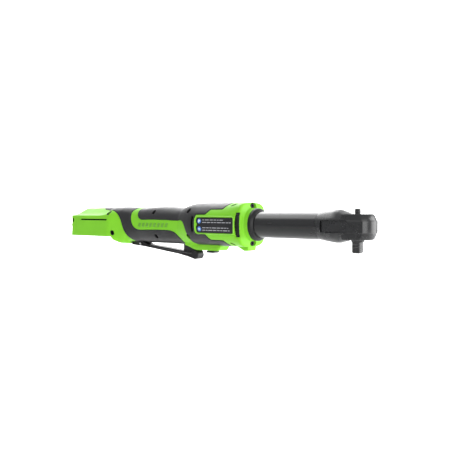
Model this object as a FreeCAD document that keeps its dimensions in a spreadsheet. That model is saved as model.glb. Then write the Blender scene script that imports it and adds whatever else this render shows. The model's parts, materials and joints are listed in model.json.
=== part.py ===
# Cordless extended-reach ratchet, 3/8 inch square drive.
#
# Millimetres. +X runs along the tool towards the ratchet head, +Z is up and the lever is
# underneath. The tool axis is the line Y = 0, Z = axis_height, and the square drive's axis is
# X = Y = 0, so the origin is the centre of the square drive's end face. Every length below is
# given from the tool axis; the builder functions add axis_height.

import FreeCAD, Part
import math
import os
import re
import Sketcher
from FreeCAD import Vector

document = FreeCAD.newDocument("ExtendedReachRatchet")
sheet = document.addObject("Spreadsheet::Sheet", "Dimensions")

DIMENSIONS = [
    # overall
    ("axis_height", 31.0),          # square drive's end face up to the tool axis
    # square drive and ratchet head
    ("drive_square", 9.525),        # 3/8 inch across flats
    ("drive_top", -18.0),
    ("drive_tip", -31.0),
    ("drive_tip_round", 1.2),
    ("head_half_width", 17.0),
    ("nose_radius", 22.5),
    ("band_top", 6.5),
    ("band_bottom", -7.5),
    ("head_top", 14.3),
    ("head_bottom", -15.3),
    ("cap_inset", 0.8),
    ("cap_taper", 4.0),
    ("head_rear", -39.5),
    ("yoke_bore_radius", 11.8),
    ("yoke_bore_top", 6.2),
    ("yoke_radius", 11.4),
    ("yoke_half_height", 5.5),
    ("yoke_teeth", 40),
    ("yoke_root_radius", 9.0),
    ("yoke_tip_radius", 8.3),
    ("fork_rear", -27.0),
    ("fork_half_width", 8.9),
    ("fork_slot_half_width", 6.7),
    ("fork_half_height", 4.5),
    ("fork_slot_front", -12.2),
    ("fork_room_half_width", 10.8),
    ("fork_room_half_height", 6.2),
    ("fork_room_rear", -31.5),
    ("anvil_radius", 7.9),
    ("anvil_half_height", 5.8),
    ("anvil_top_radius", 6.0),
    ("anvil_top", 10.4),
    ("anvil_neck_radius", 7.5),
    ("running_gap", 0.05),
    ("cover_thickness", 8.0),
    ("ring_thickness", 1.2),
    ("pawl_pocket_half_width", 5.6),
    ("pawl_half_width", 5.0),
    ("pawl_half_height", 4.0),
    ("pawl_pocket_start", 1.5),
    ("pawl_back", 3.4),
    ("pawl_pivot_x", 5.0),
    ("pawl_pin_radius", 1.0),
    ("selector_radius", 2.0),
    ("selector_bottom", -3.5),
    ("knob_length", 8.0),
    ("knob_width", 3.4),
    ("knob_bottom", 14.8),
    ("knob_top", 20.5),
    ("knob_angle", -20.0),
    ("knob_collar_radius", 3.3),
    ("ball_radius", 1.5),
    # extension tube and drive shaft
    ("tube_front", -47.5),
    ("tube_rear", -150.5),
    ("tube_radius", 16.7),
    ("tube_bore_radius", 14.3),
    ("spigot_rear", -60.0),
    ("shaft_radius", 4.0),
    ("journal_radius", 5.0),
    ("journal_rear", -58.0),
    ("journal_front", -32.0),
    ("web_radius", 6.4),
    ("web_front", -29.0),
    ("crank_throw", 1.2),
    ("crank_pin_radius", 2.4),
    ("crank_pin_front", -16.5),
    ("bushing_radius", 4.0),
    ("bushing_rear", -26.0),
    ("bushing_front", -18.0),
    ("needle_bearing_radius", 8.0),
    ("needle_bearing_rear", -50.0),
    ("needle_bearing_front", -35.0),
    ("steady_rear", -98.0),
    ("steady_front", -90.0),
    # clamp collar and gear case
    ("collar_front", -137.0),
    ("collar_rear", -143.3),
    ("collar_radius", 21.3),
    ("nozzle_radius", 20.9),
    ("nozzle_front", -143.5),
    ("case_radius", 24.3),
    ("case_rear", -202.0),
    ("case_flange_radius", 26.3),
    ("case_flange_rear", -171.0),
    ("case_flange_front", -161.0),
    ("case_screw_offset", 24.2),
    ("case_screw_head_radius", 3.0),
    ("case_screw_head_front", -151.0),
    ("case_screw_head_rear", -155.5),
    ("case_screw_end", -168.0),
    ("carrier_bearing_radius", 13.0),
    ("carrier_hub_radius", 6.0),
    ("carrier_radius", 17.0),
    ("carrier_front", -180.5),
    ("carrier_rear", -184.5),
    # planetary stage
    ("gear_module", 0.9),
    ("sun_teeth", 12),
    ("planet_teeth", 15),
    ("ring_teeth", 42),
    ("tooth_thinning", 0.10),
    ("gear_rear", -196.0),
    ("gear_front", -187.0),
    ("ring_outer_radius", 21.8),
    ("planet_pin_radius", 2.0),
    # motor
    ("motor_shaft_radius", 2.5),
    ("motor_shaft_rear", -241.5),
    ("stator_radius", 22.4),
    ("stator_bore_radius", 12.0),
    ("stator_rear", -232.0),
    ("stator_front", -212.5),
    ("stator_slots", 9),
    ("rotor_radius", 11.5),
    ("magnet_thickness", 1.6),
    ("fan_radius", 20.0),
    ("fan_rear", -211.5),
    ("fan_front", -207.6),
    ("fan_blades", 11),
    ("ball_bearing_radius", 8.0),
    ("rear_bearing_rear", -240.8),
    ("rear_bearing_front", -235.8),
    ("front_bearing_rear", -207.0),
    ("cover_rear", -205.0),
    # housing
    ("foot_rear", -483.0),
    ("housing_front", -143.4),
    ("wall", 2.6),
    ("overmold_thickness", 1.4),
    ("joint_gap", 0.1),
    ("bay_roof", 5.5),
    ("bay_half_width", 32.5),
    ("bay_front", -401.0),
    ("bay_wall_front", -398.5),
    ("rail_depth", 2.6),
    ("rail_bottom", -12.0),
    ("rail_top", -9.0),
    ("slot_rear", -461.0),
    ("slot_front", -404.0),
    ("slot_bottom", 3.3),
    ("slot_top", 4.8),
    ("grip_cover_rear", -380.0),
    ("grip_cover_front", -262.0),
    ("motor_cover_rear", -257.0),
    ("motor_cover_front", -206.0),
    ("front_wall_rear", -160.5),
    ("boss_radius", 4.0),
    ("screw_head_radius", 2.9),
    ("screw_shank_radius", 1.5),
    ("screw_seat", -8.0),
    ("screw_end", 11.0),
    ("label_rear", -223.0),
    ("label_front", -161.5),
    ("label_bottom", -10.0),
    ("label_top", 9.0),
    ("frame_margin", 2.6),
    ("frame_height", 1.0),
    ("vent_rear", -158.0),
    ("vent_front", -150.5),
    ("vent_half_height", 16.0),
    ("slot_vent_x", -233.6),
    ("slot_vent_half_length", 10.0),
    ("fin_rear", -235.0),
    ("fin_front", -186.0),
    ("fin_half_width", 10.0),
    ("fin_bottom", -36.6),
    ("lamp_rear", -180.0),
    ("lamp_front", -151.5),
    ("lamp_half_width", 8.5),
    ("lamp_bottom", -34.0),
    ("stub_rear", -225.0),
    ("stub_front", -212.0),
    ("stub_bottom", -39.6),
    # lever and switch
    ("pivot_x", -352.0),
    ("pivot_z", -31.0),
    ("pivot_pin_radius", 1.5),
    ("lever_half_width", 7.0),
    ("ear_outer", 10.5),
    ("recess_half_width", 7.5),
    ("recess_rear", -377.0),
    ("recess_front", -342.0),
    ("recess_top", -26.3),
    ("ear_rear", -358.0),
    ("ear_front", -345.5),
    ("ear_bottom", -35.4),
    ("block_rear", -267.0),
    ("block_front", -246.5),
    ("block_half_width", 5.5),
    ("block_top", -27.3),
    ("opening_rear", -270.0),
    ("opening_front", -241.0),
    ("opening_half_width", 7.6),
    ("toe_x", -244.0),
    ("toe_z", -43.0),
    ("toe_radius", 6.5),
    ("plunger_x", -252.0),
    ("plunger_radius", 2.2),
    ("plunger_bottom", -27.0),
    ("plunger_top", -12.0),
    ("switch_rear", -263.0),
    ("switch_front", -247.2),
    ("switch_half_width", 7.0),
    ("switch_bottom", -18.0),
    ("switch_top", 3.0),
    # electrics
    ("board_rear", -345.0),
    ("board_front", -285.0),
    ("board_half_width", 14.0),
    ("board_bottom", -3.0),
    ("board_thickness", 1.6),
    ("terminal_front", -395.0),
    ("terminal_half_width", 17.0),
    ("terminal_bottom", -8.0),
    ("terminal_top", 4.5),
    ("blade_rear", -413.0),
    ("lead_radius", 1.1),
    ("ring_board_rear", -234.8),
    ("ring_board_front", -233.4),
]

for row, (alias, value) in enumerate(DIMENSIONS, start=1):
    sheet.set("A%d" % row, alias.replace("_", " "))
    sheet.set("B%d" % row, repr(value))
    sheet.setAlias("B%d" % row, alias)
document.recompute()

ALIAS_PATTERN = re.compile(r"\b(%s)\b" % "|".join(alias for alias, _ in DIMENSIONS))


def size(alias):
    """The sheet's value for an alias, as a plain number."""
    return float(sheet.get(alias))


def bound(expression):
    """The expression text with every alias spelt as a reference to the sheet."""
    return ALIAS_PATTERN.sub(r"Dimensions.\1", str(expression))


def number(expression):
    """Add up a text such as 'toe_x - 2.5' from sheet values and plain numbers."""
    total = 0.0
    for sign, term in re.findall(r"([+-]?)\s*([A-Za-z_0-9.]+)", str(expression)):
        amount = size(term) if term[0].isalpha() else float(term)
        total += -amount if sign == "-" else amount
    return total


# ---------------------------------------------------------------- builder functions

NODES = []


def node(label, item):
    """Give a finished sub-part its name and keep it for the export."""
    item.Label = label
    NODES.append(item)
    return item


def bind(item, **settings):
    """Set properties from expression texts; Base_x stands for Placement.Base.x."""
    for name, expression in settings.items():
        path = "Placement.Base." + name[-1] if name.startswith("Base_") else name
        item.setExpression(path, bound(expression))
    return item


def block(name, x_from, x_to, y_from, y_to, z_from, z_to):
    """A box between two positions along each axis."""
    item = document.addObject("Part::Box", name)
    return bind(
        item,
        Length="(%s) - (%s)" % (x_to, x_from),
        Width="(%s) - (%s)" % (y_to, y_from),
        Height="(%s) - (%s)" % (z_to, z_from),
        Base_x=x_from,
        Base_y=y_from,
        Base_z="axis_height + (%s)" % z_from,
    )


def rod(name, axis, start, end, radius, x="0", y="0", z="0"):
    """A cylinder along X, Y or Z; the coordinate along its own axis is start."""
    item = document.addObject("Part::Cylinder", name)
    turns = {
        "X": FreeCAD.Rotation(Vector(0, 1, 0), 90),
        "Y": FreeCAD.Rotation(Vector(1, 0, 0), -90),
        "Z": FreeCAD.Rotation(),
    }
    item.Placement = FreeCAD.Placement(Vector(), turns[axis])
    place = {"X": x, "Y": y, "Z": z}
    place[axis] = start
    return bind(
        item,
        Radius=radius,
        Height="(%s) - (%s)" % (end, start),
        Base_x=place["X"],
        Base_y=place["Y"],
        Base_z="axis_height + (%s)" % place["Z"],
    )


def ball(name, radius, x="0", y="0", z="0"):
    item = document.addObject("Part::Sphere", name)
    return bind(item, Radius=radius, Base_x=x, Base_y=y, Base_z="axis_height + (%s)" % z)


def fuse(name, *pieces):
    if len(pieces) == 1:
        return pieces[0]
    item = document.addObject("Part::MultiFuse", name)
    item.Shapes = list(pieces)
    item.Refine = False
    return item


def cut(name, base, *tools):
    item = document.addObject("Part::Cut", name)
    item.Base = base
    item.Tool = fuse(name + "_tools", *tools)
    item.Refine = False
    return item


def common(name, base, tool):
    item = document.addObject("Part::Common", name)
    item.Base = base
    item.Tool = tool
    item.Refine = False
    return item


def group(name, *pieces):
    """Separate solids that make one sub-part, such as a set of screws."""
    item = document.addObject("Part::Compound", name)
    item.Links = list(pieces)
    return item


def feature(name, shape):
    """A shape made by Part's functions in tool-axis coordinates, then lifted into place."""
    item = document.addObject("Part::Feature", name)
    item.Shape = shape
    lift = FreeCAD.Placement(Vector(0, 0, size("axis_height")), FreeCAD.Rotation())
    item.Placement = lift.multiply(shape.Placement)
    return item


def origin_plane(body, role):
    for item in body.Origin.OriginFeatures:
        if item.Role == role:
            return item
    raise RuntimeError("no origin plane called " + role)


def outline_sketch(body, name, plane, points):
    """A closed polygon whose every corner is bound to the sheet."""
    sketch = body.newObject("Sketcher::SketchObject", name)
    sketch.AttachmentSupport = (origin_plane(body, plane), [""])
    sketch.MapMode = "FlatFace"
    places = [Vector(number(u), number(v), 0) for u, v in points]
    count = len(places)
    for index in range(count):
        sketch.addGeometry(Part.LineSegment(places[index], places[(index + 1) % count]), False)
    for index in range(count):
        sketch.addConstraint(Sketcher.Constraint("Coincident", index, 2, (index + 1) % count, 1))
    for index, (u, v) in enumerate(points):
        across = Sketcher.Constraint("DistanceX", -1, 1, index, 1, places[index].x)
        upward = Sketcher.Constraint("DistanceY", -1, 1, index, 1, places[index].y)
        sketch.setExpression("Constraints[%d]" % sketch.addConstraint(across), bound(u))
        sketch.setExpression("Constraints[%d]" % sketch.addConstraint(upward), bound(v))
    return sketch


def turned(name, axis, points):
    """A PartDesign body turned about the tool axis (X) or about the drive axis (Z).

    Each point is (position along the axis, radius)."""
    body = document.addObject("PartDesign::Body", name)
    corners = points if axis == "X" else [(radius, along) for along, radius in points]
    sketch = outline_sketch(body, name + "_outline", "XZ_Plane", corners)
    revolution = body.newObject("PartDesign::Revolution", name + "_turn")
    revolution.Profile = sketch
    revolution.ReferenceAxis = (sketch, ["H_Axis" if axis == "X" else "V_Axis"])
    revolution.Angle = 360
    return bind(body, Base_z="axis_height")


def plate(name, plane, points, low, high, lift="axis_height"):
    """A PartDesign body: an outline padded from low to high along the plane's normal.

    On XZ_Plane the outline is (x, z) and the pad runs along Y; on XY_Plane it is (x, y)
    and the pad runs along Z."""
    body = document.addObject("PartDesign::Body", name)
    sketch = outline_sketch(body, name + "_outline", plane, points)
    pad = body.newObject("PartDesign::Pad", name + "_pad")
    pad.Profile = sketch
    bind(pad, Length="(%s) - (%s)" % (high, low))
    if plane == "XZ_Plane":
        pad.Reversed = True
        return bind(body, Base_y=low, Base_z=lift)
    return bind(body, Base_z="%s + (%s)" % (lift, low))


# ---------------------------------------------------------------- ratchet head


def nose_outline(half_width, radius, rear, height):
    """Flat sides joined by the round nose, closed square at the rear."""
    corner = math.sqrt(radius ** 2 - half_width ** 2)
    near, far = Vector(corner, -half_width, height), Vector(corner, half_width, height)
    back_far, back_near = Vector(rear, half_width, height), Vector(rear, -half_width, height)
    nose = Part.Arc(near, Vector(radius, 0, height), far).toShape()
    sides = Part.makePolygon([far, back_far, back_near, near])
    return Part.Wire([nose] + sides.Edges)


def nose_block(name, low, high, low_inset, high_inset):
    """One storey of the head; an inset draws its outline in from the middle band's."""
    wires = []
    for height, inset in ((low, low_inset), (high, high_inset)):
        half_width = size("head_half_width") - inset
        radius = size("nose_radius") - inset
        wires.append(nose_outline(half_width, radius, -18.0, height))
    return feature(name, Part.makeLoft(wires, True, True))


neck = turned("neck", "X", [
    ("spigot_rear", "0"), ("spigot_rear", "tube_bore_radius - 0.05"),
    ("tube_front + 0.1", "tube_bore_radius - 0.05"), ("tube_front + 0.1", "tube_radius + 0.3"),
    ("-44", "17.6"), ("-36", "18.7"), ("-28", "19.7"), ("-20", "19.8"),
    ("-13", "15.3"), ("-6", "15.3"), ("-6", "0"),
])
head_blank = fuse(
    "head_blank",
    cut("neck_flats", neck,
        block("flat_left", "head_rear", "0", "head_half_width", "25", "-25", "25"),
        block("flat_right", "head_rear", "0", "-25", "-head_half_width", "-25", "25")),
    nose_block("head_band", size("band_bottom"), size("band_top"), 0.0, 0.0),
    nose_block("head_upper_cap", size("band_top"), size("head_top"),
               size("cap_inset"), size("cap_inset") + size("cap_taper")),
    nose_block("head_lower_cap", size("head_bottom"), size("band_bottom"),
               size("cap_inset") + size("cap_taper") - 1.0, size("cap_inset")),
)
ratchet_head = node("ratchet_head", cut(
    "ratchet_head", head_blank,
    rod("head_shaft_bore", "X", "spigot_rear - 1", "fork_room_rear + 0.01", "needle_bearing_radius + 0.02"),
    rod("head_web_room", "X", "fork_room_rear", "web_front + 0.5", "web_radius + 0.5"),
    block("head_fork_room", "fork_room_rear", "-5", "-fork_room_half_width", "fork_room_half_width",
          "-fork_room_half_height", "fork_room_half_height"),
    rod("head_yoke_bore", "Z", "head_bottom - 1", "yoke_bore_top", "yoke_bore_radius"),
    rod("head_top_bore", "Z", "yoke_bore_top - 1", "anvil_top + 0.4", "anvil_top_radius + 2.02"),
    rod("head_knob_bore", "Z", "anvil_top", "head_top + 1", "knob_collar_radius + 0.3"),
))
anvil_bush = node("anvil_bush", cut(
    "anvil_bush",
    rod("bush_outer", "Z", "yoke_bore_top", "anvil_top", "anvil_top_radius + 2"),
    rod("bush_inner", "Z", "yoke_bore_top - 1", "anvil_top + 1", "anvil_top_radius + running_gap"),
))
head_cover = node("head_cover", cut(
    "head_cover",
    rod("cover_disc", "Z", "head_bottom + ring_thickness + 0.3",
        "head_bottom + ring_thickness + cover_thickness", "yoke_bore_radius - 0.03"),
    rod("cover_bore", "Z", "head_bottom - 1", "0", "anvil_neck_radius + running_gap"),
))
head_snap_ring = node("head_snap_ring", cut(
    "head_snap_ring",
    rod("snap_disc", "Z", "head_bottom + 0.2", "head_bottom + 0.2 + ring_thickness",
        "yoke_bore_radius - 0.05"),
    rod("snap_hole", "Z", "head_bottom - 1", "0", "yoke_bore_radius - 1.9"),
    block("snap_gap", "-15", "-5", "-1.6", "1.6", "head_bottom - 1", "0"),
))


def toothed_ring(name, teeth, tip, root, outer, low, high):
    """A ring with pointed ratchet teeth inside it, about the drive axis."""
    points = []
    for index in range(teeth):
        for share, radius in ((0.0, root), (0.5, tip)):
            angle = 2 * math.pi * (index + share) / teeth
            points.append(Vector(radius * math.cos(angle), radius * math.sin(angle), low))
    inside = Part.Face(Part.makePolygon(points + points[:1]))
    disc = Part.makeCylinder(outer, high - low, Vector(0, 0, low))
    return feature(name, disc.cut(inside.extrude(Vector(0, 0, high - low))))


yoke = node("yoke", fuse(
    "yoke",
    toothed_ring("yoke_ring", int(size("yoke_teeth")), size("yoke_tip_radius"),
                 size("yoke_root_radius"), size("yoke_radius"),
                 -size("yoke_half_height"), size("yoke_half_height")),
    cut("yoke_fork",
        block("fork_blank", "fork_rear", "-9.5", "-fork_half_width", "fork_half_width",
              "-fork_half_height", "fork_half_height"),
        block("fork_slot", "fork_rear - 1", "fork_slot_front", "-fork_slot_half_width",
              "fork_slot_half_width", "-10", "10"),
        rod("fork_clear", "Z", "-10", "10", "yoke_root_radius + 0.4")),
))

drive_half = "drive_square / 2"
square = block("drive_blank", "-" + drive_half, drive_half, "-" + drive_half, drive_half,
               "drive_tip", "drive_top")
square_drive = document.addObject("Part::Chamfer", "drive_chamfered")
square_drive.Base = square
document.recompute()
TIP_EDGES = [
    (index, size("drive_tip_round"), size("drive_tip_round"))
    for index, edge in enumerate(square.Shape.Edges, start=1)
    if abs(edge.CenterOfMass.z - size("axis_height") - size("drive_tip")) < 0.01
]
square_drive.Edges = TIP_EDGES
anvil_blank = fuse(
    "anvil_blank",
    rod("anvil_body", "Z", "-anvil_half_height", "anvil_half_height", "anvil_radius"),
    rod("anvil_top_journal", "Z", "anvil_half_height - 0.5", "anvil_top", "anvil_top_radius"),
    rod("anvil_neck", "Z", "drive_top", "-anvil_half_height + 0.5", "anvil_neck_radius"),
    square_drive,
)
anvil = node("anvil", cut(
    "anvil", anvil_blank,
    block("pawl_pocket", "pawl_pocket_start", "10", "-pawl_pocket_half_width",
          "pawl_pocket_half_width", "-pawl_half_height - 0.3", "pawl_half_height + 0.3"),
    rod("selector_bore", "Z", "selector_bottom - 0.3", "anvil_top + 1",
        "selector_radius + running_gap"),
    rod("ball_seat", "Y", "0", "drive_square", "ball_radius + running_gap", z="-25"),
))
pawl_pin = node("pawl_pin", rod("pawl_pin", "Z", "-pawl_half_height - 0.25", "pawl_half_height + 0.25",
                                "pawl_pin_radius", x="pawl_pivot_x"))


def pawl_shape():
    """A rocking pawl: round outer face with teeth at both ends and a flat back."""
    radius, half_width = size("anvil_radius") - 0.1, size("pawl_half_width")
    back, half_height = size("pawl_back"), size("pawl_half_height")
    reach = math.degrees(math.asin(half_width / radius))
    tooth = 360.0 / size("yoke_teeth")
    points = [Vector(back, -half_width * 0.8, -half_height)]
    angle = -reach
    while angle < reach:
        height = radius if abs(angle) > reach - 2.2 * tooth else radius - 0.35
        for share, depth in ((0.0, 0.35), (0.5, 0.0)):
            turn = math.radians(angle + share * tooth)
            level = (radius if height == radius else radius - 0.35) - depth
            points.append(Vector(level * math.cos(turn), level * math.sin(turn), -half_height))
        angle += tooth
    points.append(Vector(back, half_width * 0.8, -half_height))
    face = Part.Face(Part.makePolygon(points + points[:1]))
    solid = face.extrude(Vector(0, 0, 2 * half_height))
    pin = Part.makeCylinder(size("pawl_pin_radius") + size("running_gap"), 2 * half_height + 2,
                            Vector(size("pawl_pivot_x"), 0, -half_height - 1))
    return solid.cut(pin)


pawl = node("pawl", feature("pawl", pawl_shape()))
knob_blade = block("knob_blade", "0 - knob_length / 2", "knob_length / 2", "0 - knob_width / 2",
                   "knob_width / 2", "knob_bottom + 1.2", "knob_top")
direction_knob = node("direction_knob", fuse(
    "direction_knob",
    rod("knob_collar", "Z", "anvil_top + 0.4", "knob_bottom + 1.5", "knob_collar_radius"),
    rod("selector_shaft", "Z", "selector_bottom", "anvil_top + 1", "selector_radius"),
    knob_blade,
))
knob_blade.Placement.Rotation = FreeCAD.Rotation(Vector(0, 0, 1), size("knob_angle"))
detent_ball = node("detent_ball", ball("detent_ball", "ball_radius", y=drive_half + " - 0.7", z="-25"))

# ---------------------------------------------------------------- tube and drive shaft

extension_tube = node("extension_tube", turned("extension_tube", "X", [
    ("tube_rear", "tube_bore_radius"), ("tube_rear", "tube_radius"),
    ("tube_front", "tube_radius"), ("tube_front", "tube_bore_radius"),
]))
clamp_collar = node("clamp_collar", turned("clamp_collar", "X", [
    ("collar_rear", "tube_radius + 0.05"), ("collar_rear", "collar_radius"),
    ("collar_front - 2.8", "collar_radius - 0.4"), ("collar_front", "tube_radius + 1"),
    ("collar_front", "tube_radius + 0.05"),
]))
shaft_steady = node("shaft_steady", turned("shaft_steady", "X", [
    ("steady_rear", "shaft_radius + running_gap"), ("steady_rear", "tube_bore_radius - 0.03"),
    ("steady_front", "tube_bore_radius - 0.03"), ("steady_front", "shaft_radius + running_gap"),
]))
needle_bearing = node("needle_bearing", turned("needle_bearing", "X", [
    ("needle_bearing_rear", "journal_radius + running_gap"),
    ("needle_bearing_rear", "needle_bearing_radius"),
    ("needle_bearing_front", "needle_bearing_radius"),
    ("needle_bearing_front", "journal_radius + running_gap"),
]))
carrier_bearing = node("carrier_bearing", turned("carrier_bearing", "X", [
    ("-168", "carrier_hub_radius + running_gap"), ("-168", "carrier_bearing_radius"),
    ("-159.5", "carrier_bearing_radius"), ("-159.5", "carrier_hub_radius + running_gap"),
]))
drive_shaft = node("drive_shaft", turned("drive_shaft", "X", [
    ("-172", "0"), ("-172", "shaft_radius"),
    ("journal_rear + 8", "shaft_radius"), ("journal_rear + 8", "0"),
]))
crankshaft = node("crankshaft", cut(
    "crankshaft",
    fuse("crankshaft_blank",
         turned("crank_journal", "X", [
             ("journal_rear", "0"), ("journal_rear", "journal_radius"),
             ("journal_front", "journal_radius"), ("journal_front + 0.6", "web_radius"),
             ("web_front", "web_radius"), ("web_front", "0")]),
         rod("crank_pin", "X", "web_front - 0.5", "crank_pin_front", "crank_pin_radius",
             y="crank_throw")),
    rod("crank_socket", "X", "journal_rear - 1", "journal_rear + 8.1", "shaft_radius + 0.02"),
))
drive_bushing = node("drive_bushing", cut(
    "drive_bushing",
    common("bushing_barrel",
           rod("bushing_blank", "X", "bushing_rear", "bushing_front", "bushing_radius", y="crank_throw"),
           ball("bushing_crown", "bushing_radius + 1", x="(bushing_rear + bushing_front) / 2",
                y="crank_throw")),
    rod("bushing_bore", "X", "bushing_rear - 1", "bushing_front + 1", "crank_pin_radius + 0.03",
        y="crank_throw"),
))

# ---------------------------------------------------------------- gear case and planetary stage

screw_sides = ("", "-")
case_holes = [
    rod("case_screw_hole_%d" % index, "X", "case_screw_end - 0.2", "case_flange_front + 1", "1.6",
        z=side + "case_screw_offset")
    for index, side in enumerate(screw_sides)
]
gear_case = node("gear_case", cut(
    "gear_case",
    turned("gear_case_blank", "X", [
        ("case_rear", "case_radius"), ("case_flange_rear", "case_radius"),
        ("case_flange_rear", "case_flange_radius"), ("case_flange_front", "case_flange_radius"),
        ("case_flange_front", "nozzle_radius"), ("nozzle_front", "nozzle_radius"),
        ("nozzle_front", "tube_radius + 0.05"), ("tube_rear - 0.1", "tube_radius + 0.05"),
        ("tube_rear - 0.1", "carrier_hub_radius + 0.8"), ("-159.4", "carrier_hub_radius + 0.8"),
        ("-159.4", "carrier_bearing_radius + 0.03"), ("-168", "carrier_bearing_radius + 0.03"),
        ("-168", "carrier_radius + 1"), ("gear_front + 1.4", "carrier_radius + 1"),
        ("gear_front + 1.4", "ring_outer_radius + 0.05"), ("case_rear", "ring_outer_radius + 0.05"),
    ]),
    *case_holes,
))
gear_case_cover = node("gear_case_cover", turned("gear_case_cover", "X", [
    ("cover_rear", "ball_bearing_radius + 0.03"), ("cover_rear", "case_radius"),
    ("case_rear - 0.1", "case_radius"), ("case_rear - 0.1", "ball_bearing_radius + 0.03"),
]))
case_screws = node("case_screws", group("case_screws", *[
    cut("case_screw_%d" % index,
        fuse("case_screw_blank_%d" % index,
             rod("case_screw_head_%d" % index, "X", "case_screw_head_rear",
                 "case_screw_head_front", "case_screw_head_radius", z=side + "case_screw_offset"),
             rod("case_screw_shank_%d" % index, "X", "case_screw_end",
                 "case_screw_head_rear + 1", "1.5", z=side + "case_screw_offset")),
        rod("case_screw_drive_%d" % index, "X", "case_screw_head_front - 2",
            "case_screw_head_front + 1", "1.4", z=side + "case_screw_offset"))
    for index, side in enumerate(screw_sides)
]))


def involute(radius, base_radius):
    """The involute angle at a radius, in radians."""
    pressure = math.acos(min(1.0, base_radius / radius))
    return math.tan(pressure) - pressure


def gear_outline(teeth, tip_radius, root_radius, thinning, first_tooth):
    """Corners of a 20 degree involute gear in the YZ plane, one tooth centred on first_tooth."""
    pitch_radius = size("gear_module") * teeth / 2
    base_radius = pitch_radius * math.cos(math.radians(20))
    half_tooth = math.pi / (2 * teeth) - thinning / (2 * pitch_radius)
    low, high = sorted((tip_radius, root_radius))
    start = max(low, base_radius)
    flank = []
    if start > low:
        flank.append((low, half_tooth + involute(pitch_radius, base_radius)))
    for step in range(5):
        radius = start + (high - start) * step / 4.0
        flank.append((radius, half_tooth + involute(pitch_radius, base_radius)
                      - involute(radius, base_radius)))
    points = []
    for index in range(teeth):
        centre = first_tooth + 2 * math.pi * index / teeth
        for radius, angle in flank:
            points.append((radius, centre - angle))
        for radius, angle in reversed(flank):
            points.append((radius, centre + angle))
    return [Vector(0, r * math.sin(a), r * math.cos(a)) for r, a in points]


def gear_solid(teeth, addendum, dedendum, bore_radius, thinning, first_tooth, rear, front):
    pitch_radius = size("gear_module") * teeth / 2
    corners = gear_outline(teeth, pitch_radius + addendum, pitch_radius - dedendum,
                           thinning, first_tooth)
    face = Part.Face(Part.makePolygon(corners + corners[:1]))
    solid = face.extrude(Vector(front - rear, 0, 0))
    solid.translate(Vector(rear, 0, 0))
    bore = Part.makeCylinder(bore_radius, front - rear + 2, Vector(rear - 1, 0, 0), Vector(1, 0, 0))
    return solid.cut(bore)


def ring_gear_solid(rear, front):
    """Teeth point inwards: the space between them is an external gear's outline."""
    pitch_radius = size("gear_module") * size("ring_teeth") / 2
    space = gear_outline(int(size("ring_teeth")), pitch_radius + size("gear_module") * 1.1,
                         pitch_radius - size("gear_module") * 0.65,
                         -size("tooth_thinning"), 0.0)
    face = Part.Face(Part.makePolygon(space + space[:1]))
    inside = face.extrude(Vector(front - rear + 2, 0, 0))
    inside.translate(Vector(rear - 1, 0, 0))
    ring = Part.makeCylinder(size("ring_outer_radius"), front - rear, Vector(rear, 0, 0),
                             Vector(1, 0, 0))
    return ring.cut(inside)


carrier_distance = size("gear_module") * (size("sun_teeth") + size("planet_teeth")) / 2
addendum = size("gear_module") * 0.8
dedendum = size("gear_module") * 1.15
gear_rear, gear_front = size("gear_rear"), size("gear_front")
sun_gear = node("sun_gear", feature("sun_gear", gear_solid(
    int(size("sun_teeth")), addendum, dedendum, size("motor_shaft_radius") + 0.02,
    size("tooth_thinning"), 0.0, gear_rear - 1, gear_front)))
ring_gear = node("ring_gear", feature("ring_gear", ring_gear_solid(gear_rear - 1, gear_front + 1)))
PLANETS = 3
for index in range(PLANETS):
    planet = gear_solid(int(size("planet_teeth")), addendum, dedendum,
                        size("planet_pin_radius") + size("running_gap"),
                        size("tooth_thinning"), 0.0, gear_rear, gear_front)
    planet.translate(Vector(0, 0, carrier_distance))
    planet.rotate(Vector(0, 0, 0), Vector(1, 0, 0), -index * 360.0 / PLANETS)
    node("planet_gear_%d" % (index + 1), feature("planet_gear_%d" % (index + 1), planet))


def planet_place(index):
    """Y and Z of a planet's centre."""
    angle = 2 * math.pi * index / PLANETS
    return carrier_distance * math.sin(angle), carrier_distance * math.cos(angle)


planet_carrier = node("planet_carrier", cut(
    "planet_carrier",
    turned("carrier_blank", "X", [
        ("carrier_rear", "0"), ("carrier_rear", "carrier_radius"),
        ("carrier_front", "carrier_radius"), ("carrier_front", "carrier_hub_radius"),
        ("-159.5", "carrier_hub_radius"), ("-159.5", "0")]),
    rod("carrier_socket", "X", "-172", "-158", "shaft_radius + 0.02"),
    *[rod("carrier_pin_hole_%d" % index, "X", "carrier_rear - 1", "carrier_front + 1",
          "planet_pin_radius + 0.02", y=planet_place(index)[0], z=planet_place(index)[1])
      for index in range(PLANETS)],
))
planet_pins = node("planet_pins", group("planet_pins", *[
    rod("planet_pin_%d" % (index + 1), "X", "gear_rear - 0.4", "carrier_front",
        "planet_pin_radius", y=planet_place(index)[0], z=planet_place(index)[1])
    for index in range(PLANETS)
]))

# ---------------------------------------------------------------- motor


def around_axis(name, shape, count):
    """Copies of one shape, evenly spaced around the tool axis, as separate solids."""
    copies = []
    for index in range(count):
        copy = shape.copy()
        copy.rotate(Vector(0, 0, 0), Vector(1, 0, 0), index * 360.0 / count)
        copies.append(copy)
    return feature(name, Part.makeCompound(copies))


def ring_shape(rear, front, inner, outer):
    shape = Part.makeCylinder(outer, front - rear, Vector(rear, 0, 0), Vector(1, 0, 0))
    return shape.cut(Part.makeCylinder(inner, front - rear + 2, Vector(rear - 1, 0, 0),
                                       Vector(1, 0, 0)))


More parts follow.
